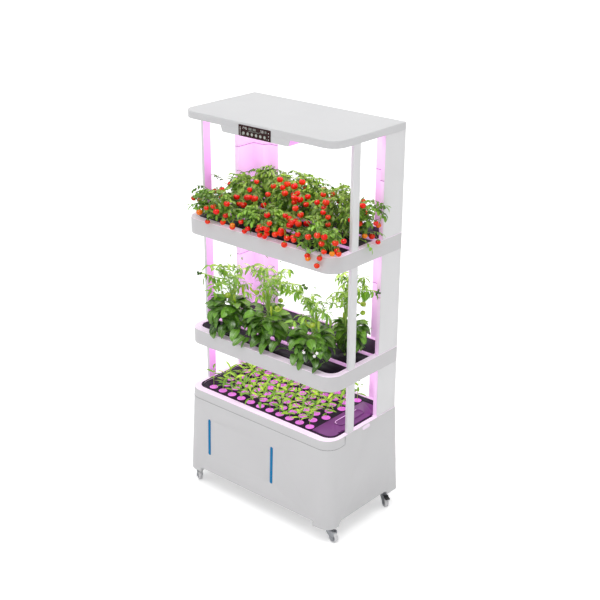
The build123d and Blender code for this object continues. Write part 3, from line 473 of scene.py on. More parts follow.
class Heap:
    """Growing pile of points, faces, leaf places and tones that becomes one object."""

    def __init__(self):
        self.points, self.faces, self.spots, self.tones, self.count = [], [], [], [], 0

    def put(self, shape, turn=None, place=(0, 0, 0), tone=0.0):
        """Adds a shape, turned and set at its place, with its tone shifted."""
        points, faces, spots, tones = shape
        if turn is not None:
            points = points @ turn.T
        self.points.append(points + np.array(place))
        self.faces.extend([tuple(self.count + i for i in face) for face in faces])
        self.spots.append(spots)
        self.tones.append(tones + tone)
        self.count += len(points)

    def stem(self, path, radii, sides, tone):
        """Adds a stem, with a radius for each point or for its two ends."""
        if len(radii) == 2:
            radii = np.linspace(*radii, len(path))
        self.put(tube_along(path, radii, sides), tone=tone)

    def shape(self):
        """All that was added, as one shape."""
        return (np.concatenate(self.points), self.faces, np.concatenate(self.spots),
                np.concatenate(self.tones))

    def object(self, name):
        """All that was added, as one object with its leaf places and tones."""
        points, faces, spots, tones = self.shape()
        piece = gathered(name, points, faces)
        corners = np.empty(len(piece.data.loops), int)
        piece.data.loops.foreach_get("vertex_index", corners)
        own = piece.data.uv_layers.new(name="leaf")
        own.data.foreach_set("uv", spots[corners].ravel())
        shade = piece.data.color_attributes.new("tone", "FLOAT_COLOR", "POINT")
        shade.data.foreach_set("color", np.repeat(np.clip(tones, 0, 1), 4))
        return piece


def foliage(name, dark, light, rib, roughness, veins, painted_light_glow=0.0):
    """Leaf skin: tone by leaf, blotches, a pale midrib and side veins, with a waxy gloss."""
    material, tree, shader = new_material(name)
    place = add(tree, "TexCoord").outputs["Object"]
    tone = add(tree, "Attribute", {"attribute_name": "tone"})
    blotches = 120  # per metre, each about 8 mm wide
    blotch = add(tree, "TexNoise", {"Scale": blotches, "Detail": 3}, {"Vector": place})
    share = add(tree, "Math", {"operation": "MULTIPLY_ADD", 1: 0.35},
                {0: blotch, 2: tone.outputs["Fac"]})
    spread = add(tree, "MapRange", {"From Min": 0.1, "From Max": 1.15}, {"Value": share})
    skin = add(tree, "MixRGB", {"Color1": linear(dark), "Color2": linear(light)}, {"Fac": spread})
    own = add(tree, "UVMap", {"uv_map": "leaf"})
    split = add(tree, "SeparateXYZ", {}, {"Vector": own})
    off = add(tree, "Math", {"operation": "SUBTRACT", 1: 0.5}, {0: split.outputs["X"]})
    away = add(tree, "Math", {"operation": "ABSOLUTE"}, {0: off})
    middle = add(tree, "MapRange", {"From Min": 0.02, "From Max": 0.06, "To Min": 1, "To Max": 0},
                 {"Value": away})
    slant = add(tree, "Math", {"operation": "MULTIPLY_ADD", 1: -0.5},
                {0: away, 2: split.outputs["Y"]})
    beat = add(tree, "Math", {"operation": "MULTIPLY", 1: veins * 2 * pi}, {0: slant})
    wave = add(tree, "Math", {"operation": "SINE"}, {0: beat})
    side = add(tree, "MapRange", {"From Min": 0.82, "From Max": 1, "To Max": 0.5}, {"Value": wave})
    vein = add(tree, "Math", {"operation": "MAXIMUM"}, {0: middle, 1: side})
    faint = add(tree, "Math", {"operation": "MULTIPLY", 1: 0.55}, {0: vein})
    colour = add(tree, "MixRGB", {"Color2": linear(rib)}, {"Fac": faint, "Color1": skin})
    bump = add(tree, "Bump", {"Strength": 0.5, "Distance": 0.0006, "invert": True},
               {"Height": vein})
    fill(tree, shader, {"Roughness": roughness, "IOR": 1.45},
         {"Base Color": colour, "Normal": bump})
    # The glow is painted light: a faint emission in the leaf's own colour that brightens it.
    if painted_light_glow:
        fill(tree, shader, {"Emission Strength": painted_light_glow}, {"Emission Color": skin})
    return material


seedling_leaves = [blade(0.042, 0.0135, 5, 2, bend, 0.25, 0.6, 0.8) for bend in (0.3, 0.7, 1.1)]
sprouts = Heap()
tall_height, tall_places = 0.088, ((-0.313, 0.155), (0.24, 0.157))
for x, y in places:
    height = draw.uniform(0.046, 0.066)
    if any(max(abs(x - tall_x), abs(abs(y) - tall_y)) < 0.02 for tall_x, tall_y in tall_places):
        height = tall_height
    lean = draw.uniform(-0.006, 0.006, 2)
    foot = np.array((x, y, plug_top - 0.001))
    head = foot + (lean[0], lean[1], height)
    bow = foot * 0.45 + head * 0.55 - (lean[0] * 0.3, lean[1] * 0.3, 0)
    sprouts.stem([foot, bow, head], [0.0013, 0.0011, 0.0008], 4, 0.8)
    start = draw.uniform(0, 2 * pi)
    count = draw.integers(6, 9)
    for index in range(count):
        share = 0.35 + 0.65 * index / (count - 1)
        yaw = start + index * next_leaf + draw.uniform(-0.3, 0.3)
        pitch = draw.uniform(0.05, 0.55) + (0.75 if index == count - 1 else 0.2 * share)
        turn = turn_to(yaw, pitch, draw.uniform(-0.4, 0.4), draw.uniform(0.7, 1.15))
        sprouts.put(seedling_leaves[draw.integers(3)], turn, foot * (1 - share) + head * share,
                    draw.uniform(0.1, 1))
# The seedling leaves carry a faint glow of painted light.
seedling_green = foliage("seedling leaves", "#2c8a08", "#a4e02c", "#c0e868", 0.5, 5, 0.06)
finished(sprouts.object("seedling_plants"), seedling_green, "cabinet", "seedlings")

# Trays, planks and baskets
# The trays are the casing's white ABS; the rim's paler pink and the basin walls' pink are the
# lamp light painted into their colour, with a glow. The planks are the same dark sheet as the
# seedling plate, with the same painted pink tint, and the baskets are black nylon.

tray_white = moulded("moulded ABS, white tray", "#dcdbdc", "#d7d6d8", 0.4)
rib_painted_lamp_pink = moulded("moulded ABS, rib, painted pink lamp light", "#f8cff6", "#f3c4f2", 0.42,
                   painted_light_glow=("#ffb0ff", 0.14))
plank_painted_pink_tint = moulded("dark polystyrene planks, painted pink tint", "#1c0a22", "#100414", 0.42, 1.6, 0.05, 90,
                     shine=0.12)
basket_black = moulded("moulded nylon, baskets", "#1c1320", "#120b16", 0.6, 3, 0.6, 12)
basin_side, basin_front, basin_back, basin_depth = 0.3765, -0.184, 0.206, 0.06
for level in ("middle", "upper"):
    tray = eased(level + "_tray", 1.0, tray_white)
    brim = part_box(level + "_tray")[1][2]
    # Upward faces at the brim take the rim's painted pink lamp light.
    tinted(tray, rim_painted_lamp_pink, lambda low, high, normal: normal.z > 0.3 and low.z > brim - 0.003)
    # The basin's inner walls take the rib's painted pink lamp light.
    tinted(tray, rib_painted_lamp_pink, lambda low, high, normal: (
        max(abs(low.x), abs(high.x)) < basin_side and low.y > basin_front
        and high.y < basin_back and low.z > brim - basin_depth))
    eased(level + "_planks", 0.8, plank_painted_pink_tint)
    kept(level + "_baskets", basket_black)

# Front posts, column covers and liners
# The posts are powder-coated steel tube with a smooth low sheen. The columns have a white outer
# cover and a liner that faces the plants. The lamps' pink on the liner and on the posts' inner
# faces is painted into their colour, with a glow.

post_white = moulded("powder-coated steel tube", "#efeff0", "#e9e9eb", 0.36, 0.8, 0.04)
post_painted_lamp_pink = moulded("powder-coated steel tube, painted pink lamp light", "#f6c4f6", "#f0bcf2", 0.36, 0.8, 0.04,
                    painted_light_glow=("#ff9cff", 0.2))
cover_white = moulded("moulded ABS, column cover", "#f0f0f1", "#ebebec", 0.4)
liner_painted_lamp_pink = moulded("moulded ABS, liner, painted pink lamp light", "#f9e0f9", "#f5d8f5", 0.42,
                     painted_light_glow=("#ffc4ff", 0.2))
for side, sign in (("left", -1), ("right", 1)):
    post = eased("front_post_" + side, 1.2, post_white)
    # Faces that turn in towards the plants take the painted pink lamp light.
    tinted(post, post_painted_lamp_pink, lambda low, high, normal: normal.x * sign < -0.4)
    eased("column_cover_" + side, 1.0, cover_white)
    eased("column_liner_" + side, 0.8, liner_painted_lamp_pink)

# Pepper plants
# Low crowns of broad dark leaves on short stalks, and above them thin pale stems that end in
# whorls of narrow leaves, with round fruits, pods, a few white flowers and arms of dark buds.

solid_boxes = [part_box(name + side) for name in ("front_post_", "column_cover_")
               for side in ("left", "right")]
solid_boxes += [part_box(level + "_tray") for level in ("middle", "upper")]
middle_brim, upper_brim = [high[2] for low, high in solid_boxes[-2:]]
toward_front = np.array((0.635, -0.706, 0.313))
left_edge, right_edge, front_edge, back_edge = -0.415, 0.437, -0.241, 0.238
slant, slant_edge = 0.25, -0.395  # the plants' left outline runs in a little towards the front
shown, shown_sides = [], []  # fruits and flowers that no leaf covers, and the side they face


def is_clear(points, margin=0.002):
    """True where a leaf or a fruit meets no post, column or tray and keeps to the whole's box."""
    x, y = points[:, 0], points[:, 1]
    if x.max() > right_edge or y.min() < front_edge or y.max() > back_edge:
        return False
    if x.min() < left_edge or (x - slant * y).min() < slant_edge:
        return False
    return not any(np.any(np.all((points > np.array(low) - margin)
                                 & (points < np.array(high) + margin), axis=1))
                   for low, high in solid_boxes)


def middle_of(box):
    """Middle of a box."""
    return (box[0] + box[1]) / 2


def half_of(box):
    """Half the size of a box."""
    return (box[1] - box[0]) / 2


def depths_in(points, boxes):
    """How far out points lie in the rounded outline of each box, where 1 is its edge."""
    return [np.linalg.norm((points - middle_of(box)) / half_of(box), axis=-1) for box in boxes]


def is_covering(points, radius=0.0125, reach=0.16):
    """True where a leaf lies on a fruit or before it, on the side that the light reaches."""
    if not shown:
        return False
    away = points[:, None] - np.array(shown)
    along = np.einsum("pfk,fk->pf", away, np.array(shown_sides))
    across = np.linalg.norm(away - along[..., None] * np.array(shown_sides), axis=2)
    return bool(np.any((along > -radius) & (along < reach) & (across < radius)))


def rounded_directions(count):
    """Numbered directions spread evenly over a sphere, without those that point down."""
    golden_angle, lowest = 2.399963, -0.8
    index = np.arange(count) + 0.5
    z = 1 - 2 * index / count
    turn = index * golden_angle
    flat = np.sqrt(1 - z * z)
    spread = np.stack((flat * np.cos(turn), flat * np.sin(turn), z), axis=1)
    return [pair for pair in enumerate(spread) if pair[1][2] >= lowest]


def try_leaf(heap, shapes, root, yaw, pitch, size, tone, tries=10, within=None, limit=0):
    """Puts a leaf at its root, turned further and made smaller each time until it fits.

    It may stand out of the outlines of the boxes it is within by no more than the limit.
    """
    for attempt in range(tries):
        looser = 0.25 + 0.1 * attempt
        turn = turn_to(yaw + draw.normal(0, looser), pitch + draw.normal(0, looser * 0.6),
                       draw.normal(0, 0.3), size * (1 - 0.04 * attempt))
        shape = shapes[draw.integers(len(shapes))]
        points = shape[0] @ turn.T + root
        if within and np.mean(np.min(depths_in(points, within), axis=0) > limit) > 0.1:
            continue
        if is_clear(points) and not is_covering(points):
            heap.put(shape, turn, root, tone)
            return True
    return False


def arching(start, end, lift=0.5, count=6):
    """Points of a stem that leaves upright and leans over to its end."""
    start, end = np.array(start), np.array(end)
    bend = np.array((start[0] * 0.75 + end[0] * 0.25, start[1] * 0.75 + end[1] * 0.25,
                     start[2] + (end[2] - start[2]) * (0.5 + lift)))
    shares = np.linspace(0, 1, count)[:, None]
    return (1 - shares) ** 2 * start + 2 * shares * (1 - shares) * bend + shares ** 2 * end


def nearest(spots, spot, place=lambda other: other):
    """The one of these spots that is nearest to another, seen from above."""
    return min(spots, key=lambda other: np.hypot(*(place(other) - spot)[:2]))


def basket_tops(name):
    """Top middles of the baskets of a tray."""
    return [middle_of(box) * (1, 1, 0) + (0, 0, box[1][2]) for box in islands(name)]


def with_stalk(shape, stalk):
    """Leaf with a stalk between its root and its blade."""
    heap = Heap()
    heap.stem([(0, 0, 0), (stalk + 0.003, 0, 0)], (0.0011, 0.0009), 3, 0.35)
    heap.put(shape, None, (stalk, 0, 0))
    return heap.shape()


def ball(radius, squash=0.9, lobes=0, around=14, along=9, dimple=0.12):
    """Fruit with its stalk end at the origin and its body below."""
    points = []
    for row in range(along + 1):
        angle = pi * row / along
        z = -radius * squash * (1 - cos(angle)) - dimple * radius * max(0, cos(angle)) ** 6
        for column in range(around):
            turn = 2 * pi * column / around
            r = radius * max(sin(angle), 0.02) * (1 + (0.07 * cos(lobes * turn) if lobes else 0))
            points.append((r * cos(turn), r * sin(turn), z))
    faces = ring_walls(along, around, True)
    faces += [tuple(range(around)), tuple(range(along * around, (along + 1) * around))[::-1]]
    return np.array(points), faces, np.zeros((len(points), 2)), np.zeros(len(points))


def pod(length, radius, curl):
    """Pod that hangs from the origin, straight or curled towards +X."""
    turn = length / curl
    shares = [step / 8 for step in range(9)]
    path = [(turn * (1 - cos(curl * t)), 0, -turn * sin(curl * t)) for t in shares]
    radii = [radius * min(1, 0.45 + 4 * t) * (1 - t ** 3) + 0.0006 for t in shares]
    return tube_along(path, radii, 8)


broad = [with_stalk(blade(0.07, 0.044, 6, 4, bend, 0.2, 0.5, 0.78, 0, wave), 0.02)
         for bend, wave in ((0.6, 0.03), (1.0, 0.05), (1.4, 0.04))]
slim = [with_stalk(blade(0.048, 0.0155, 5, 2, bend, 0.3, 0.6, 0.85), 0.005)
        for bend in (0.5, 0.9, 1.3)]
broad_leaves, shoots, green_fruit = Heap(), Heap(), Heap()
plant_boxes = [box for box in islands("pepper_plants") if box[1][0] - box[0][0] > 0.05]
crowns = [box for box in plant_boxes if box[0][2] < middle_brim + 0.05]
heads = [nearest([box for box in plant_boxes if box[0][2] > crown[0][2] + 0.05],
                 middle_of(crown), middle_of) for crown in crowns]
bell = ball(0.0115, 0.95, 3)
straight, curled = pod(0.052, 0.0052, 0.35), pod(0.058, 0.0045, 2.2)
for shape, x, y, z, yaw in (
        (bell, -212, -160, 943, 0), (bell, -45, -160, 998, 1), (bell, 66, -160, 957, 2),
        (bell, 253, -160, 939, 3), (curled, -246, -160, 938, 0.3), (curled, -82, -160, 1000, 0.4),
        (curled, 92, -160, 962, 3.4), (curled, 218, -160, 938, 0.3),
        (straight, -175, -160, 944, 1.2), (straight, -10, -160, 1000, 1),
        (straight, 33, -160, 948, 2), (straight, 286, -160, 955, 1), (straight, 253, 40, 918, 1.5),
        (bell, -240, -92, 930, 0), (straight, -190, -92, 960, 2), (bell, 20, -85, 955, 0),
        (straight, -50, -88, 975, 1), (bell, 310, 92, 965, 2), (curled, 270, 90, 975, 0.5),
        (bell, 345, 45, 950, 1), (straight, 215, -92, 950, 0)):
    place = np.array((x, y, z)) / 1000
    green_fruit.put(shape, turn_to(yaw, draw.uniform(-0.15, 0.15), 0, draw.uniform(0.92, 1.08)),
                    place, draw.uniform(0.2, 0.9))
    shown.append(place - (0, 0, 0.011))
    shown_sides.append(toward_front if y < 60 else np.array((0.3, 0.95, 0.1)))
    stalk = [place - (0, 0, 0.001), place + (0.002, 0.004, 0.012), place + (0.006, 0.012, 0.016)]
    shoots.stem(stalk, [0.0012, 0.0011, 0.0011], 4, 0.7)
flowers = Heap()
petal = blade(0.0095, 0.0075, 3, 2, 0.8, 0.2, 0.5, 0.4)
for x, y, z in ((310, -214, 827), (321, -212, 842), (262, -222, 831), (250, -50, 850),
                (345, 105, 850)):
    place = np.array((x, y, z)) / 1000
    side = toward_front if y < -100 else np.array((0.1, 0.95, 0.2))
    face_out = np.array(Vector((0, 0, 1)).rotation_difference(Vector(side)).to_matrix())
    for index in range(5):
        flowers.put(petal, face_out @ turn_to(index * 2 * pi / 5, 0.25, 0, 0.75), place, 0.9)
    shoots.stem([place, place - side * 0.03 + (0, 0, 0.01)], (0.0008, 0.0008), 4, 0.6)
    shown.append(place)
    shown_sides.append(side / np.linalg.norm(side))


def whorl(spot, count, low, high, size, spread=2 * pi, start=None):
    """Narrow leaves round the end of a stem."""
    start = draw.uniform(0, 2 * pi) if start is None else start
    for index in range(count):
        yaw = start + spread * (index / count - 0.5)
        try_leaf(shoots, slim, spot, yaw, draw.uniform(low, high), size * draw.uniform(0.7, 1.1),
                 draw.uniform(0.3, 1.0), 4)


bud = ball(0.0046, 1.0, 0, 7, 5, 0)
arms = {0: (-383, -150, 983), 1: (175, -110, 1055), 3: (412, 50, 1047)}
baskets = basket_tops("middle_baskets")
for index, (crown, head) in enumerate(zip(crowns, heads)):
    middle, half = middle_of(crown), half_of(crown)
    head_middle, head_half = middle_of(head), half_of(head)
    foot = nearest(baskets, middle)
    top = np.array((foot[0], foot[1], crown[1][2] - 0.02))
    trunk = arching(foot, top, 0.2)
    shoots.stem(trunk, (0.0045, 0.003), 6, 0.1)
    for reach, count in ((0.52, 92), (0.22, 26)):
        for number, direction in rounded_directions(count):
            root = middle + half * direction * (reach + draw.uniform(-0.12, 0.12))
            root[2] = max(root[2], middle_brim + 0.02)
            yaw = atan2(direction[1] * half[1], direction[0] * half[0])
            # Leaves that face up are painted lighter and the ones facing down darker: painted light
            # and shade, on top of a random tone.
            tone = 0.25 + 0.25 * direction[2] + draw.uniform(-0.25, 0.6)
            if try_leaf(broad_leaves, broad, root, yaw, 0.7 * direction[2] + 0.05,
                        draw.uniform(0.7, 1.08), tone, 12, [crown], 1.12):
                share = np.clip((root[2] - foot[2]) / (top[2] - foot[2]), 0.1, 0.95)
                path = arching(trunk[int(share * 0.8 * len(trunk))], root, 0.0, 3)
                shoots.stem(path, [0.0016, 0.0013, 0.0011], 3, 0.2)
    if middle[1] < -0.1:
        for offset in np.linspace(-0.85 if index else -0.5, 0.85, 5):
            root = np.array((middle[0] + offset * half[0], draw.uniform(-0.175, -0.16),
                             draw.uniform(0.785, 0.815)))
            if try_leaf(broad_leaves, broad[1:], root, -pi / 2 + draw.normal(0, 0.3), -0.2,
                        draw.uniform(0.8, 1.05), draw.uniform(0.0, 0.7)):
                shoots.stem(arching(trunk[2], root, 0.2, 4), (0.0018, 0.0011), 3, 0.2)
    wide = 1.25 if index == 1 else 1.0
    for stem in range(24 if index == 1 else 19):
        angle = stem * next_leaf + draw.uniform(-0.3, 0.3)
        spread = wide * draw.uniform(0.35, 1.35) if stem else 0
        drop = 0.09 * (stem % 4) / 3 + draw.uniform(-0.01, 0.02)
        end = np.array((head_middle[0] + head_half[0] * spread * cos(angle),
                        head_middle[1] + head_half[1] * min(spread, 1.1) * sin(angle),
                        head[1][2] + 0.012 - (drop if stem else 0)))
        path = arching(trunk[-2], end, 0.3, 7)
        if not is_clear(path):
            continue
        shoots.stem(path, (0.0019, 0.0008), 4, 0.55)
        whorl(path[-1], 5, -0.75, 0.3, 0.85)
        for step in (3, 5):
            whorl(path[step], 2, -0.3, 0.7, 0.7, pi)
        if stem in (0, 5, 8):
            tip = path[-1] + (draw.uniform(-0.01, 0.01), 0, draw.uniform(0.025, 0.045))
            shoots.stem([path[-1], tip], (0.0006, 0.0004), 3, 0.6)
            try_leaf(shoots, slim, tip, draw.uniform(0, 6), 0.9, 0.45, 0.1, 3)
    if index in arms:
        end = np.array(arms[index]) / 1000
        path = arching(head_middle, end, 0.55, 9)
        shoots.stem(path, (0.0016, 0.0028), 5, 0.9)
        heading = atan2(*(end - head_middle)[1::-1])
        for step in (4, 5, 6, 7):
            whorl(path[step], 3, -1.25, -0.7, 1.0, 1.6 * pi, heading)
        for grain in range(9):
            broad_leaves.put(bud, turn_to(draw.uniform(0, 6), draw.uniform(-1, 1)),
                             end + draw.normal(0, 0.0055, 3), draw.uniform(0, 0.3))


def fruit_skin(name, unripe, ripe, gloss):
    """Smooth skin of a fruit, coloured by how ripe it is."""
    material, tree, shader = new_material(name)
    ripeness = add(tree, "Attribute", {"attribute_name": "tone"})
    skin = add(tree, "MixRGB", {"Color1": linear(unripe), "Color2": linear(ripe)},
               {"Fac": ripeness.outputs["Fac"]})
    fill(tree, shader, gloss, {"Base Color": skin})
    return material


pepper_dark = foliage("pepper leaves, broad", "#0f3e02", "#80c034", "#a4cc70", 0.38, 6)
# The young leaves carry a faint glow of painted light.
pepper_light = foliage("pepper leaves, young", "#2c7408", "#9cd440", "#c2e278", 0.45, 5, 0.05)
pepper_green = fruit_skin("pepper skin, green", "#8fbf22", "#cfe34a",
                          {"Roughness": 0.2, "Coat Weight": 0.4})
# The petals carry a faint glow of painted light.
petal_white = foliage("pepper petals", "#f2eff4", "#ffffff", "#fffbe0", 0.6, 3, 0.1)
for name, heap, skin in (("broad_leaves", broad_leaves, pepper_dark),
                         ("shoots", shoots, pepper_light), ("fruit", green_fruit, pepper_green),
                         ("flowers", flowers, petal_white)):
    finished(heap.object("pepper_" + name), skin, "cabinet", "pepper_plants")

# Tomato plants
# A dense low canopy of compound leaves with small toothed leaflets, and trusses of glossy cherry
# tomatoes, a few of them still orange, that hang out of it and over the rim.

bushes = [box for box in islands("tomato_plants") if box[1][0] - box[0][0] > 0.05]
baskets = basket_tops("upper_baskets")
feet = [nearest(baskets, middle_of(box)) for box in bushes]
heights = (0.97, 0.97, 0.97, 0.88, 0.86, 0.88, 1.0)
bushes = [(low, np.array((high[0], high[1], low[2] + (high[2] - low[2]) * share)))
          for (low, high), share in zip(bushes, heights)]
trusses, tomatoes = Heap(), Heap()
cherry = ball(0.0132, 0.93, 0, 12, 8)
apart = 0.0245
sepal = blade(0.011, 0.0042, 3, 2, 0.9, 0.2, 0.55, 0.9)
star = Heap()
for index in range(5):
    star.put(sepal, turn_to(index * 2 * pi / 5, 0.25), (0, 0, 0.0004))
star = star.shape()


def truss(x, y, z, count, ripe=1, side=toward_front):
    """Cluster of fruits on a branching stalk, moved out to the edge of the leaves."""
    spot = np.array((x, y, z)) / 1000
    just_outside, nudge = 1.03, 0.005
    for step in range(60):
        if min(depths_in(spot, bushes)) > just_outside:
            break
        spot = spot + side * nudge
    fork = spot + (0, 0, 0.02) - side * 0.02
    width = 0.012 * sqrt(count)
    settled = []
    for attempt in range(400):
        if len(settled) == count:
            break
        place = spot + draw.normal(0, 1, 3) * (width, 0.4 * width, 0.6 * width)
        size = draw.uniform(0.8, 1.1)
        if any(np.linalg.norm(place - other) <= apart for other in settled):
            continue
        if not is_clear(cherry[0] * size + place, 0.001):
            continue
        settled.append(place)
        turn = turn_to(draw.uniform(0, 6), draw.uniform(-0.3, 0.3), draw.uniform(-0.3, 0.3), size)
        tomatoes.put(cherry, turn, place, ripe * draw.uniform(0.85, 1))
        trusses.put(star, turn, place, draw.uniform(0.2, 0.8))
        trusses.stem(arching(fork, place, 0.6, 4), [0.0012, 0.001, 0.0008, 0.0008], 4, 0.4)
        shown.append(place - (0, 0, 0.012))
        shown_sides.append(side / np.linalg.norm(side))
    path = arching(nearest(feet, spot), fork, 0.35, 7)
    if is_clear(path[1:]):
        trusses.stem(path, (0.002, 0.0012), 4, 0.3)


for values in (
        (-130, -60, 1430, 1), (20, -60, 1430, 9), (-90, -110, 1375, 6), (-175, -110, 1350, 3),
        (-240, -110, 1315, 1), (90, -60, 1395, 6), (160, 0, 1425, 1), (215, -60, 1400, 3),
        (-285, -150, 1295, 3), (-325, -200, 1290, 1, 0.45), (0, -150, 1345, 1),
        (140, -150, 1350, 9), (275, -110, 1385, 3), (325, -60, 1380, 2), (-175, -180, 1300, 1),
        (-170, -226, 1280, 1, 0.3), (-240, -227, 1256, 1), (-140, -226, 1272, 2),
        (-110, -226, 1280, 1, 0.2), (-90, -200, 1295, 1), (-50, -205, 1280, 3),
        (40, -205, 1300, 6), (75, -222, 1280, 2), (155, -215, 1305, 5), (220, -218, 1310, 4),
        (300, -200, 1330, 3), (385, -180, 1325, 2), (350, -222, 1300, 1), (295, -227, 1265, 1),
        (275, -228, 1240, 1, 0.2), (350, -227, 1255, 2), (390, -215, 1290, 1, 0.1),
        (405, -190, 1285, 2), (385, -20, 1430, 1), (385, 10, 1345, 2), (402, 72, 1325, 1, 0.5),
        (388, -18, 1302, 1, 0.2), (396, 48, 1262, 2)):
    truss(*values)
for *values, side in (
        (-390, -150, 1320, 2, -1), (-380, -60, 1330, 3, -1), (-370, 30, 1350, 2, -1),
        (-395, 0, 1290, 1, -1), (-260, 180, 1320, 4, 0), (-180, 180, 1320, 2, 0),
        (-90, 185, 1335, 5, 0), (0, 185, 1310, 3, 0), (70, 180, 1350, 4, 0),
        (150, 185, 1310, 3, 0), (230, 180, 1330, 4, 0), (-20, 190, 1270, 2, 0),
        (200, 190, 1270, 1, 0), (-225, 190, 1275, 2, 0)):
    truss(*values, 1, np.array((side * 0.98, 0.1 if side else 0.98, 0.05)))
leaflets = [blade(0.027, 0.0145, 5, 2, bend, 0.3, 0.5, 0.8, 0.15, 0.03) for bend in (0.4, 0.9, 1.3)]


def compound(length, pairs, bend):
    """Compound leaf: a stalk that arches down, with pairs of leaflets and one at its end."""
    def spine(t):
        return length * sin(bend * t) / bend, 0, length * (cos(bend * t) - 1) / bend

    heap = Heap()
    stalk = [spine(t) for t in np.linspace(0, 1, 4)]
    heap.stem(stalk, (0.0012, 0.0006), 3, 0.3)
    for pair in range(pairs):
        t = 0.25 + 0.6 * pair / (pairs - 1)
        for side in (-1, 1):
            turn = turn_to(side * draw.uniform(0.8, 1.25),
                           -bend * t * 0.6 + draw.uniform(-0.35, 0.35),
                           draw.uniform(-0.6, 0.6), draw.uniform(0.75, 1.1) * (1.05 - 0.1 * pair))
            heap.put(leaflets[draw.integers(3)], turn, spine(t), draw.uniform(-0.25, 0.25))
    heap.put(leaflets[1], turn_to(0, -bend * 0.8, 0, 1.15), stalk[-1], draw.uniform(-0.1, 0.3))
    return heap.shape()


fronds = [compound(0.062, 3, bend) for bend in (0.5, 0.8, 1.1, 1.4)]
fronds += [compound(0.078, 4, bend) for bend in (0.6, 0.9, 1.3)]


def frond_at(heap, root, yaw, pitch, size, tone, foot, stemmed=True, within=None, limit=0):
    """Compound leaf, on a stem from the plant's foot where it is an outer one."""
    if try_leaf(heap, fronds, root, yaw, pitch, size, tone, 12, within, limit) and stemmed:
        path = arching(foot, root, 0.3, 6)
        if is_clear(path[1:]):
            heap.stem(path, (0.0024, 0.0012), 4, 0.15)


canopies = {"front": Heap(), "rear": Heap()}
leaves_per_area = 3600
for box, foot in zip(bushes, feet):
    middle, half = middle_of(box), half_of(box)
    foot = foot * (1, 1, 0) + (0, 0, upper_brim + 0.006)
    canopy = canopies["front" if middle[1] < -0.08 else "rear"]
    area = half[0] * half[1] + half[0] * half[2] + half[1] * half[2]
    for reach, share in ((0.72, 1.0), (0.5, 0.6), (0.25, 0.3)):
        for number, direction in rounded_directions(int(leaves_per_area * area * share)):
            root = middle + half * direction * (reach + draw.uniform(-0.1, 0.1))
            root[2] = max(root[2], upper_brim + 0.01)
            yaw = atan2(direction[1] * half[1], direction[0] * half[0])
            # Leaves on top and in the outer shell are painted lighter and the inner ones darker:
            # painted light and shade, on top of a random tone.
            tone = 0.15 + 0.4 * max(direction[2], 0) + 0.3 * (reach - 0.5)
            tone += draw.uniform(-0.25, 0.4)
            frond_at(canopy, root, yaw, 0.8 * direction[2] + 0.1, draw.uniform(0.7, 1.05), tone,
                     foot, number % 4 == 0, bushes, 1.04 if number % 9 else 1.13)
# Sprays that hang over the rim and fill the outline: (x, y, z) in mm and the heading
over_rim = [(x, -182, 1278, -pi / 2) for x in (
    -368, -345, -262, -240, -218, -172, 92, 112, 235, 262, 318, 345)]
over_rim += [(-372, y, 1280, pi) for y in (-158, -122)]
over_rim += [(-352, y, z, pi) for y, z in (
    (-165, 1335), (-140, 1358), (-115, 1345), (-150, 1312), (-95, 1325), (-20, 1350))]
over_rim += [(372, y, 1280, 0) for y in (-150, -14, 22, 58)]
over_rim += [(352, y, z, 0) for y, z in (
    (-8, 1420), (12, 1405), (30, 1418), (45, 1385), (20, 1370), (58, 1360), (40, 1345), (0, 1345),
    (62, 1395), (55, 1330))]
over_rim += [(x, 176, 1278, pi / 2) for x in (-250, -150, -40, 75, 190, 240)]
over_rim += [(x, y, z, x / 60) for x, z in (
    (-230, 1388), (-205, 1402), (-182, 1415), (-162, 1428), (-146, 1440), (-130, 1444),
    (-114, 1436), (-98, 1428), (-76, 1418), (-56, 1412), (20, 1422), (105, 1412)) for y in (48, 78)]
over_rim += [(x, 62, z, x / 25) for x, z in (
    (-215, 1372), (-192, 1385), (-172, 1396), (-152, 1408), (-136, 1412), (-118, 1404),
    (-100, 1396), (-160, 1375), (-135, 1380), (-110, 1370), (-145, 1350), (-125, 1345))]
for x, y, z, yaw in over_rim:
    root = np.array((x / 1000 + draw.uniform(-0.012, 0.012), y / 1000 + draw.uniform(-0.01, 0.01),
                     z / 1000 + draw.uniform(-0.012, 0.012)))
    frond_at(canopies["front" if y < -80 else "rear"], root, yaw, 0.3 if z > 1300 else -0.1,
             draw.uniform(0.8, 1.1), draw.uniform(0.1, 0.7), nearest(feet, root))
# The tomato leaves carry a faint glow of painted light.
tomato_green = foliage("tomato leaves", "#134804", "#98d438", "#b0d668", 0.45, 5, 0.03)
tomato_red = fruit_skin("tomato skin", "#ff9a18", "#fb0806",
                        {"Roughness": 0.16, "Specular IOR Level": 0.3})
for name, heap, skin in (("leaves_front", canopies["front"], tomato_green),
                         ("leaves_rear", canopies["rear"], tomato_green),
                         ("trusses", trusses, tomato_green), ("fruit", tomatoes, tomato_red)):
    finished(heap.object("tomato_" + name), skin, "cabinet", "tomato_plants")

# Lamps
# Each lamp panel is painted white sheet with three frosted acrylic diffusers, which spread the
# pink light of the diodes behind them.

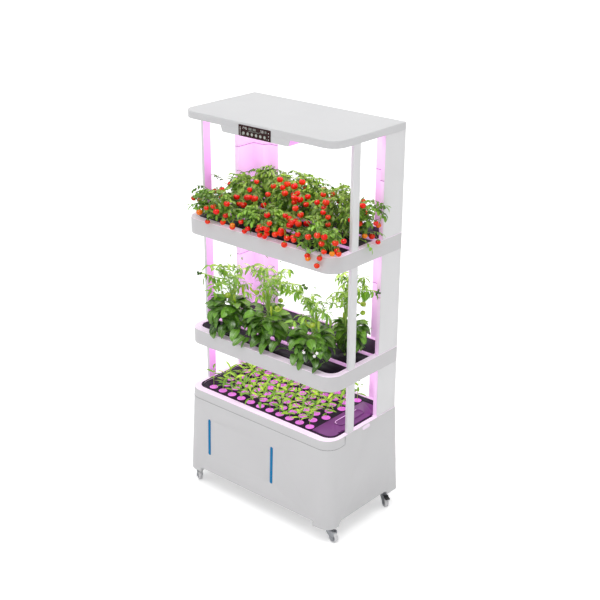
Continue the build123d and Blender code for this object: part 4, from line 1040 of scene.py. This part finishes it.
# The panel's pink and glow are the diodes' light painted into its colour.
panel_painted_lamp_pink = moulded("white lamp panel, painted pink lamp light", "#f0d4f0", "#eaccec", 0.5,
                      painted_light_glow=("#ff9cff", 0.25))
diffuser, tree, shader = new_material("frosted diffuser, lit")
diode_spacing_mm = 22
place = add(tree, "TexCoord").outputs["Object"]
cell = add(tree, "TexVoronoi", {"Scale": 1000 / diode_spacing_mm}, {"Vector": place})
lit = add(tree, "MapRange", {"From Max": 0.6, "To Min": 1.25, "To Max": 0.85}, {"Value": cell})
tint = add(tree, "MixRGB", {"Fac": 0.5, "Color1": linear("#ffb4ff"), "Color2": linear("#ff8cff")})
scaled = add(tree, "VectorMath", {"operation": "SCALE"}, {0: tint, "Scale": lit})
fill(tree, shader, {"Emission Strength": 1.6, "Base Color": linear("#fff0ff")},
     {"Emission Color": scaled})
for level, power in (("lower", 0.8), ("middle", 1.3), ("upper", 1.3)):
    kept("lamp_panel_" + level, panel_painted_lamp_pink)
    kept("light_bars_" + level, diffuser)
    lamp = bpy.data.lights.new("grow_light_" + level, "AREA")
    lamp.shape = "RECTANGLE"
    lamp.size, lamp.size_y = 0.66, 0.26
    lamp.color = linear("#ffeaff")[:3]
    lamp.energy = power
    below_panel = 0.006
    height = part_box("lamp_panel_" + level)[0][2] - below_panel
    placed("grow_light_" + level, lamp).location = (0, 0, height)

# Cap, control box, display, keys, board and supply
# The cap and the box are the casing's ABS. The display is dark red polycarbonate over the
# board, with printed white digits, and the six round keys stand a little proud of it.

cap_white = moulded("moulded ABS, white cap", "#dededf", "#d8d8da", 0.4)
eased("top_cap", 1.0, cap_white)
box = eased("control_box", 1.0, cap_white)
# The box's end and underside take the posts' painted pink lamp light.
tinted(box, post_painted_lamp_pink, lambda low, high, normal: normal.x > 0.35 or normal.z < -0.7)
display_dark = moulded("tinted polycarbonate display", "#3a1315", "#2a0c0e", 0.15, 4, 0.004, 30,
                       shine=0.2)
key_dark = moulded("moulded keys", "#4a2a2c", "#3c2022", 0.25, 2, 0.01, 10, shine=0.3)
key_face = moulded("printed key faces", "#9a9c92", "#8c8f86", 0.3, 2, 0.01, 10)
key_mark = moulded("printed white mark", "#f4f4f0", "#ecece8", 0.4)
eased("display_window", 0.3, display_dark)
front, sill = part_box("display_window")[0][1:]


def printed(name, plates, material):
    """Printed marks as thin plates, each (x, z, width, height) in mm from the display's sill."""
    points, faces, proud = [], [], 0.0002
    for x, z, width, height in plates:
        start = len(points)
        for y in (proud, -proud):
            for right, above in ((-1, -1), (1, -1), (1, 1), (-1, 1)):
                points.append(((x + right * width / 2) / 1000, front - y,
                               sill + (z + above * height / 2) / 1000))
        faces += [tuple(start + i for i in face) for face in (
            (0, 1, 2, 3), (7, 6, 5, 4), (0, 4, 5, 1), (1, 5, 6, 2), (2, 6, 7, 3), (3, 7, 4, 0))]
    finished(gathered(name, points, faces, False), material, "cabinet",
             "display_window")


def digit(x, z, lit):
    """Plates of a seven-bar digit, 5 mm wide and 9 mm high."""
    flat, upright = (4, 1.1), (1.1, 3.6)
    bars = {"top": (0, 4.5, *flat), "middle": (0, 0, *flat), "bottom": (0, -4.5, *flat),
            "low left": (-2.2, -2.2, *upright), "low right": (2.2, -2.2, *upright),
            "up left": (-2.2, 2.2, *upright), "up right": (2.2, 2.2, *upright)}
    return [(x + bars[bar][0], z + bars[bar][1], *bars[bar][2:]) for bar in lit]


two = ("top", "up right", "middle", "low left", "bottom")
four = ("up left", "middle", "up right", "low right")
six = ("top", "up left", "middle", "low left", "low right", "bottom")
eight = six + ("up right",)
marks = []
for x, lit in ((-58, two), (-50, four), (-42, six), (36, six), (44, eight)):
    marks += digit(x, 34, lit)
marks += [(28, 30, 1.3, 1.3), (-74, 34, 3, 3), (-74, 28, 3, 3)]
marks += [(-74, 4 + 5 * step, 3, 2.4) for step in range(5)]
marks += [(73, z, 3.2, 3.2) for z in (8, 20, 32)]
printed("display_digits", marks, key_mark)
blocks = [(-22, 34, 16, 9), (0, 34, 16, 9), (58, 34, 9, 9), (-62, 10, 6, 10), (64, 8, 3, 4)]
blocks += [(-30 + 7 * step, 25, 4.6, 2 + 0.8 * (step % 4)) for step in range(9)]
block_grey = moulded("printed grey fields", "#7c7f78", "#6e716b", 0.35, 2, 0.01, 12)
printed("display_fields", blocks, block_grey)
mark_ring = [(-0.00015, 0.0022), (0.0003, 0.0022), (0.0003, 0.0034), (-0.00015, 0.0034)]
for number in range(1, 7):
    name, body = "panel_key_%d" % number, "key_%d" % number
    key = eased(name, 0.5, key_dark, body)
    tinted(key, key_face, lambda low, high, normal: normal.y < -0.8)
    low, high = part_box(name)
    centre = Vector(((low[0] + high[0]) / 2, low[1], (low[2] + high[2]) / 2))
    mark = turned("key_mark_%d" % number, mark_ring, 20, centre, Vector((0, 1, 0)))
    finished(mark, key_mark, body, name)
board_green = moulded("fibreglass board", "#1d5a34", "#174c2b", 0.4, 1.5, 0.02, 20)
kept("control_board", board_green)
supply_metal = pressed_metal("pressed aluminium, supply", "#b9babd", "#a6a7ab", 0.4)
kept("power_supply", supply_metal)

# Studio
# A white floor, soft light from all round, a soft sun from above and a smaller one from the
# front for the gloss alone, with the camera where the photograph was taken from.

white = (1, 1, 1, 1)
floor_reach, floor_lift = 30, 0.36
floor = gathered("floor", [(x * floor_reach, y * floor_reach, 0) for x, y in (
    (-1, -1), (1, -1), (1, 1), (-1, 1))], [(0, 1, 2, 3)], False)
floor_paint, tree, shader = new_material("white studio floor")
path = add(tree, "LightPath")
lift = add(tree, "MapRange", {"To Min": 0, "To Max": floor_lift},
           {"Value": path.outputs["Is Camera Ray"]})
fill(tree, shader, {"Base Color": linear("#fbfbfb"), "Roughness": 0.9, "Specular IOR Level": 0.1,
                    "Emission Color": white}, {"Emission Strength": lift})
floor.data.materials.append(floor_paint)

world = bpy.data.worlds.new("studio")
bpy.context.scene.world = world
world.use_nodes = True
tree = world.node_tree
path = add(tree, "LightPath")
seen = add(tree, "Math", {"operation": "MAXIMUM"},
           {0: path.outputs["Is Camera Ray"], 1: path.outputs["Is Glossy Ray"]})
seen = add(tree, "Math", {"operation": "MAXIMUM"},
           {0: seen, 1: path.outputs["Is Transmission Ray"]})
strength = add(tree, "MapRange", {"To Min": 0.55, "To Max": 1.0}, {"Value": seen})
fill(tree, tree.nodes["Background"], {"Color": white}, {"Strength": strength})

for name, energy, angle, place, direction in (
        ("key_light", 1.45, 60, (0, 0, 4), (0.04, 0.12, -1)),
        ("gloss_light", 2.6, 20, (0, -3, 4), (-0.05, 0.64, -0.76))):
    sun = bpy.data.lights.new(name, "SUN")
    sun.energy, sun.angle = energy, radians(angle)
    holder = placed(name, sun)
    holder.location = place
    holder.rotation_euler = Vector(direction).to_track_quat("-Z", "Y").to_euler()
    holder.visible_diffuse = name == "key_light"

camera_data = bpy.data.cameras.new("camera")
camera = placed("camera", camera_data)
azimuth, elevation, roll = radians(40.64), radians(22.318), radians(0.347)
stand = Vector((2.9495, -3.3780, 2.7563))
back = Vector((sin(azimuth) * cos(elevation), -cos(azimuth) * cos(elevation), sin(elevation)))
level_right = Vector((cos(azimuth), sin(azimuth), 0))
right = level_right * cos(roll) + back.cross(level_right) * sin(roll)
up = back.cross(right)
camera.matrix_world = Matrix([(right[i], up[i], back[i], stand[i]) for i in range(3)]
                             + [(0, 0, 0, 1)])
camera_data.sensor_width = 36
camera_data.lens = 69.49
bpy.context.scene.camera = camera
bpy.context.scene.view_settings.view_transform = "Standard"
